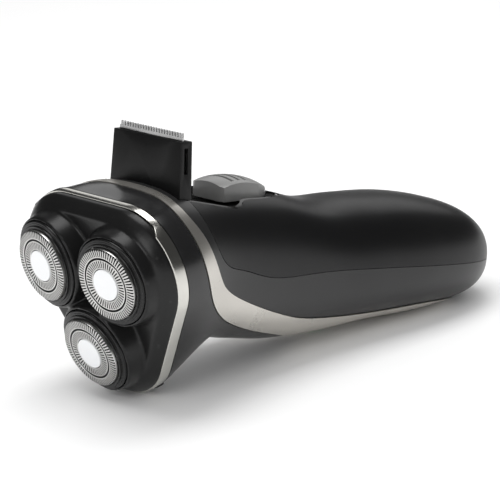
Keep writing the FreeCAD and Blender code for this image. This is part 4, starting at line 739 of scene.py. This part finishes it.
def makeHeadCover():
    shape = headShape
    bm = lobedSolid([(15.0, shape["rimRadius"], -15.4), (15.0, shape["rimRadius"], -11.2),
                     (15.1, shape["rimRadius"] - 0.7, -10.3), (15.4, shape["rimRadius"] - 1.9, -9.0),
                     (shape["shoulderSpread"], shape["shoulderRadius"], shape["shoulderDepth"])])
    toHead = headFrame.inverted()
    for number in headAngles:
        bmesh.ops.create_cone(bm, cap_ends=True, segments=96, radius1=shape["domeFoot"], radius2=shape["domeTop"],
                              depth=shape["domeTopDepth"] - shape["domeFootDepth"],
                              matrix=toHead @ podFrame(number)
                              @ Matrix.Translation((0, 0, (shape["domeTopDepth"] + shape["domeFootDepth"]) / 2)))
    lump = solidFrom(bm)
    fused = lump.modifiers.new("fuse", "REMESH")
    fused.mode = "VOXEL"
    fused.voxel_size = shape["voxel"]
    soft = lump.modifiers.new("soften", "SMOOTH")
    soft.factor = 0.5
    soft.iterations = shape["smoothing"]
    seats = []
    for number in headAngles:
        profile = [(0.0, -16.0), (13.46, -16.0), (13.46, -4.5)]
        for step in range(1, 7):
            rise = radians(2.2 * step)
            profile.append((13.46 * cos(rise), -4.5 + 13.46 * sin(rise)))
        profile += [(profile[-1][0] + 0.25, profile[-1][1] + 0.4), (profile[-1][0] + 0.9, 0.0), (0.0, 0.0)]
        seat = spun(profile, 128)
        bmesh.ops.transform(seat, matrix=toHead @ podFrame(number), verts=seat.verts)
        seats.append(solidFrom(seat))
    chamber = solidFrom(lobedSolid([(15.0, 17.9, -17.0), (15.0, 17.9, -12.9), (15.0, 17.5, -11.2), (15.6, 14.2, -9.6)]))
    under = lobedSolid([(15.0, 30.0, -30.0), (15.0, 30.0, shape["rimDepth"])], 360)
    lowered(under, -20.0, shape["topDrop"])
    foot = solidFrom(under)
    mesh = carvedLump(lump, [("DIFFERENCE", chamber), ("DIFFERENCE", foot)]
                      + [("DIFFERENCE", seat) for seat in seats])
    mesh.transform(headFrame)
    finishMesh("head_cover_shell", mesh, "shaving_unit", materials["headBlack"],
               ("head_cover",), 38.0)
    print("head cover", len(mesh.polygons))
    cleared(lump, chamber, foot, *seats)


def carvedLump(lump, steps):
    """"""
    bpy.context.view_layer.update()
    graph = bpy.context.evaluated_depsgraph_get()
    mesh = bpy.data.meshes.new_from_object(lump.evaluated_get(graph))
    smooth = bpy.data.objects.new("smooth", mesh)
    bpy.context.scene.collection.objects.link(smooth)
    result = carved(smooth, steps)
    bpy.data.objects.remove(smooth)
    return result


def makeChromeRing():
    bm = bmesh.new()
    section = [(19.5, -15.0), (19.5, -11.7), (19.36, -11.42), (19.05, -11.3), (18.45, -11.3), (18.3, -11.45),
               (18.3, -15.0)]
    loops = [lobedLoop(bm, 15.0, radius, height, 360) for radius, height in section]
    for before, after in zip(loops, loops[1:] + loops[:1]):
        bmesh.ops.bridge_loops(bm, edges=before + after)
    lowered(bm, -12.0, headShape["topDrop"])
    bmesh.ops.recalc_face_normals(bm, faces=bm.faces)
    finishPiece("chrome_ring_band", bm, headFrame, "shaving_unit", materials["brightChrome"],
                ("chrome_ring",), 40.0)


# ---- build everything

makePanels()
for number in headAngles:
    makeGuard(number)
    makeCap(number)
    makeHeadRing(number)
makeHeadCover()
makeChromeRing()
refined("trimmer_housing", "trimmer", materials["trimmerBlack"], 0.00030, 3)
refined("trimmer_switch", "trimmer_slider", materials["sliderGrey"], 0.00035, 3)
refined("power_button", "power_button_body", materials["buttonRubber"], 0.00030, 3)
refined("release_button", "release_button_body", materials["headBlack"], 0.00030, 3)
refined("charging_socket", "handle", materials["bayGloss"], 0.00020, 2)

kept = {
    "trimmer_comb": "combSteel", "trimmer_blade": "combSteel", "trimmer_hinge_pin": "turnedSteel",
    "trimmer_spring": "turnedSteel", "trimmer_drive_arm": "nylon", "switch_clip": "innerPlastic",
    "drive_plate": "innerPlastic", "gear_plate": "innerPlastic", "gear_plate_screws": "turnedSteel",
    "motor_can": "motorSteel", "motor_rotor": "windingCopper", "drive_pinion": "nylon",
    "spindle_seals": "sealRubber", "head_base": "innerPlastic", "retaining_frame": "nylon",
    "chassis": "innerPlastic", "battery_cell_1": "cellSleeve", "battery_cell_2": "cellSleeve",
    "battery_strap_front": "strapNickel", "battery_strap_rear": "strapNickel", "circuit_board": "boardGreen",
    "board_screws": "turnedSteel", "power_switch": "innerPlastic", "indicator_lens": "lensGreen",
    "charging_contact": "contactBrass",
}
for number in headAngles:
    kept.update({f"cutter_{number}": "combSteel", f"drive_gear_{number}": "nylon",
                 f"drive_spindle_{number}": "turnedSteel"})
for node, material in kept.items():
    for slot in nodes[node].material_slots:
        slot.material = materials[material]
print("pieces finished")

# ---- floor, light and camera

studio = {
    "floor": (0.90, 0.90, 0.90), "world": 0.75, "mirrored": 0.05,
    "lights": {  # place in metres, size, power
        "top": ((0.0, 0.12, 0.75), (0.8, 0.36), 3.4),
        "left": ((-0.80, -0.25, 0.45), (0.4, 0.4), 1.6),
        "back": ((0.72, 0.60, 0.56), (1.0, 0.5), 1.5),
    },
    "cameraSpot": (-432.9, -514.7, 155.0), "cameraRight": (0.723, -0.688, 0.054),
    "cameraUp": (0.099, 0.182, 0.978), "cameraBack": (-0.683, -0.702, 0.200), "lens": 172.94,
}


def makeStudio():
    bm = bmesh.new()
    bmesh.ops.create_grid(bm, x_segments=2, y_segments=2, size=4.0)
    mesh = bpy.data.meshes.new("floor")
    bm.to_mesh(mesh)
    bm.free()
    floor = bpy.data.objects.new("floor", mesh)
    bpy.context.scene.collection.objects.link(floor)
    material, tree, shader = startMaterial("paleFloor")
    shader.inputs["Base Color"].default_value = solid(studio["floor"])
    shader.inputs["Roughness"].default_value = 0.6
    shader.inputs["Specular IOR Level"].default_value = 0.2
    mesh.materials.append(material)
    world = bpy.data.worlds.new("studio")
    world.use_nodes = True
    sky = world.node_tree.nodes["Background"]
    sky.inputs["Color"].default_value = (1, 1, 1, 1)
    rays = world.node_tree.nodes.new("ShaderNodeLightPath").outputs["Is Glossy Ray"]
    shade = studio["mirrored"] - studio["world"]
    strength = mathNode(world.node_tree, "ADD", mathNode(world.node_tree, "MULTIPLY", rays, shade), studio["world"])
    world.node_tree.links.new(strength, sky.inputs["Strength"])
    bpy.context.scene.world = world
    for name, (spot, spread, power) in studio["lights"].items():
        lamp = bpy.data.lights.new(name, "AREA")
        lamp.shape = "RECTANGLE"
        lamp.size, lamp.size_y = spread
        lamp.energy = power
        holder = bpy.data.objects.new(name, lamp)
        holder.location = spot
        holder.rotation_euler = (Vector(spot) - Vector((0, 0, 0.03))).to_track_quat("Z", "Y").to_euler()
        bpy.context.scene.collection.objects.link(holder)
    camera = bpy.data.cameras.new("camera")
    camera.lens = studio["lens"]
    camera.sensor_width = 36.0
    camera.clip_start = 0.01
    view = bpy.data.objects.new("camera", camera)
    turn = handleFrame.to_3x3().normalized()
    axes = [(turn @ Vector(studio[name])).normalized() for name in ("cameraRight", "cameraUp", "cameraBack")]
    view.matrix_world = (Matrix.Translation(handleFrame @ Vector(studio["cameraSpot"]))
                         @ Matrix(axes).transposed().to_4x4())
    bpy.context.scene.collection.objects.link(view)
    bpy.context.scene.camera = view
    bpy.context.scene.view_settings.view_transform = "Standard"


makeStudio()
print("studio ready")
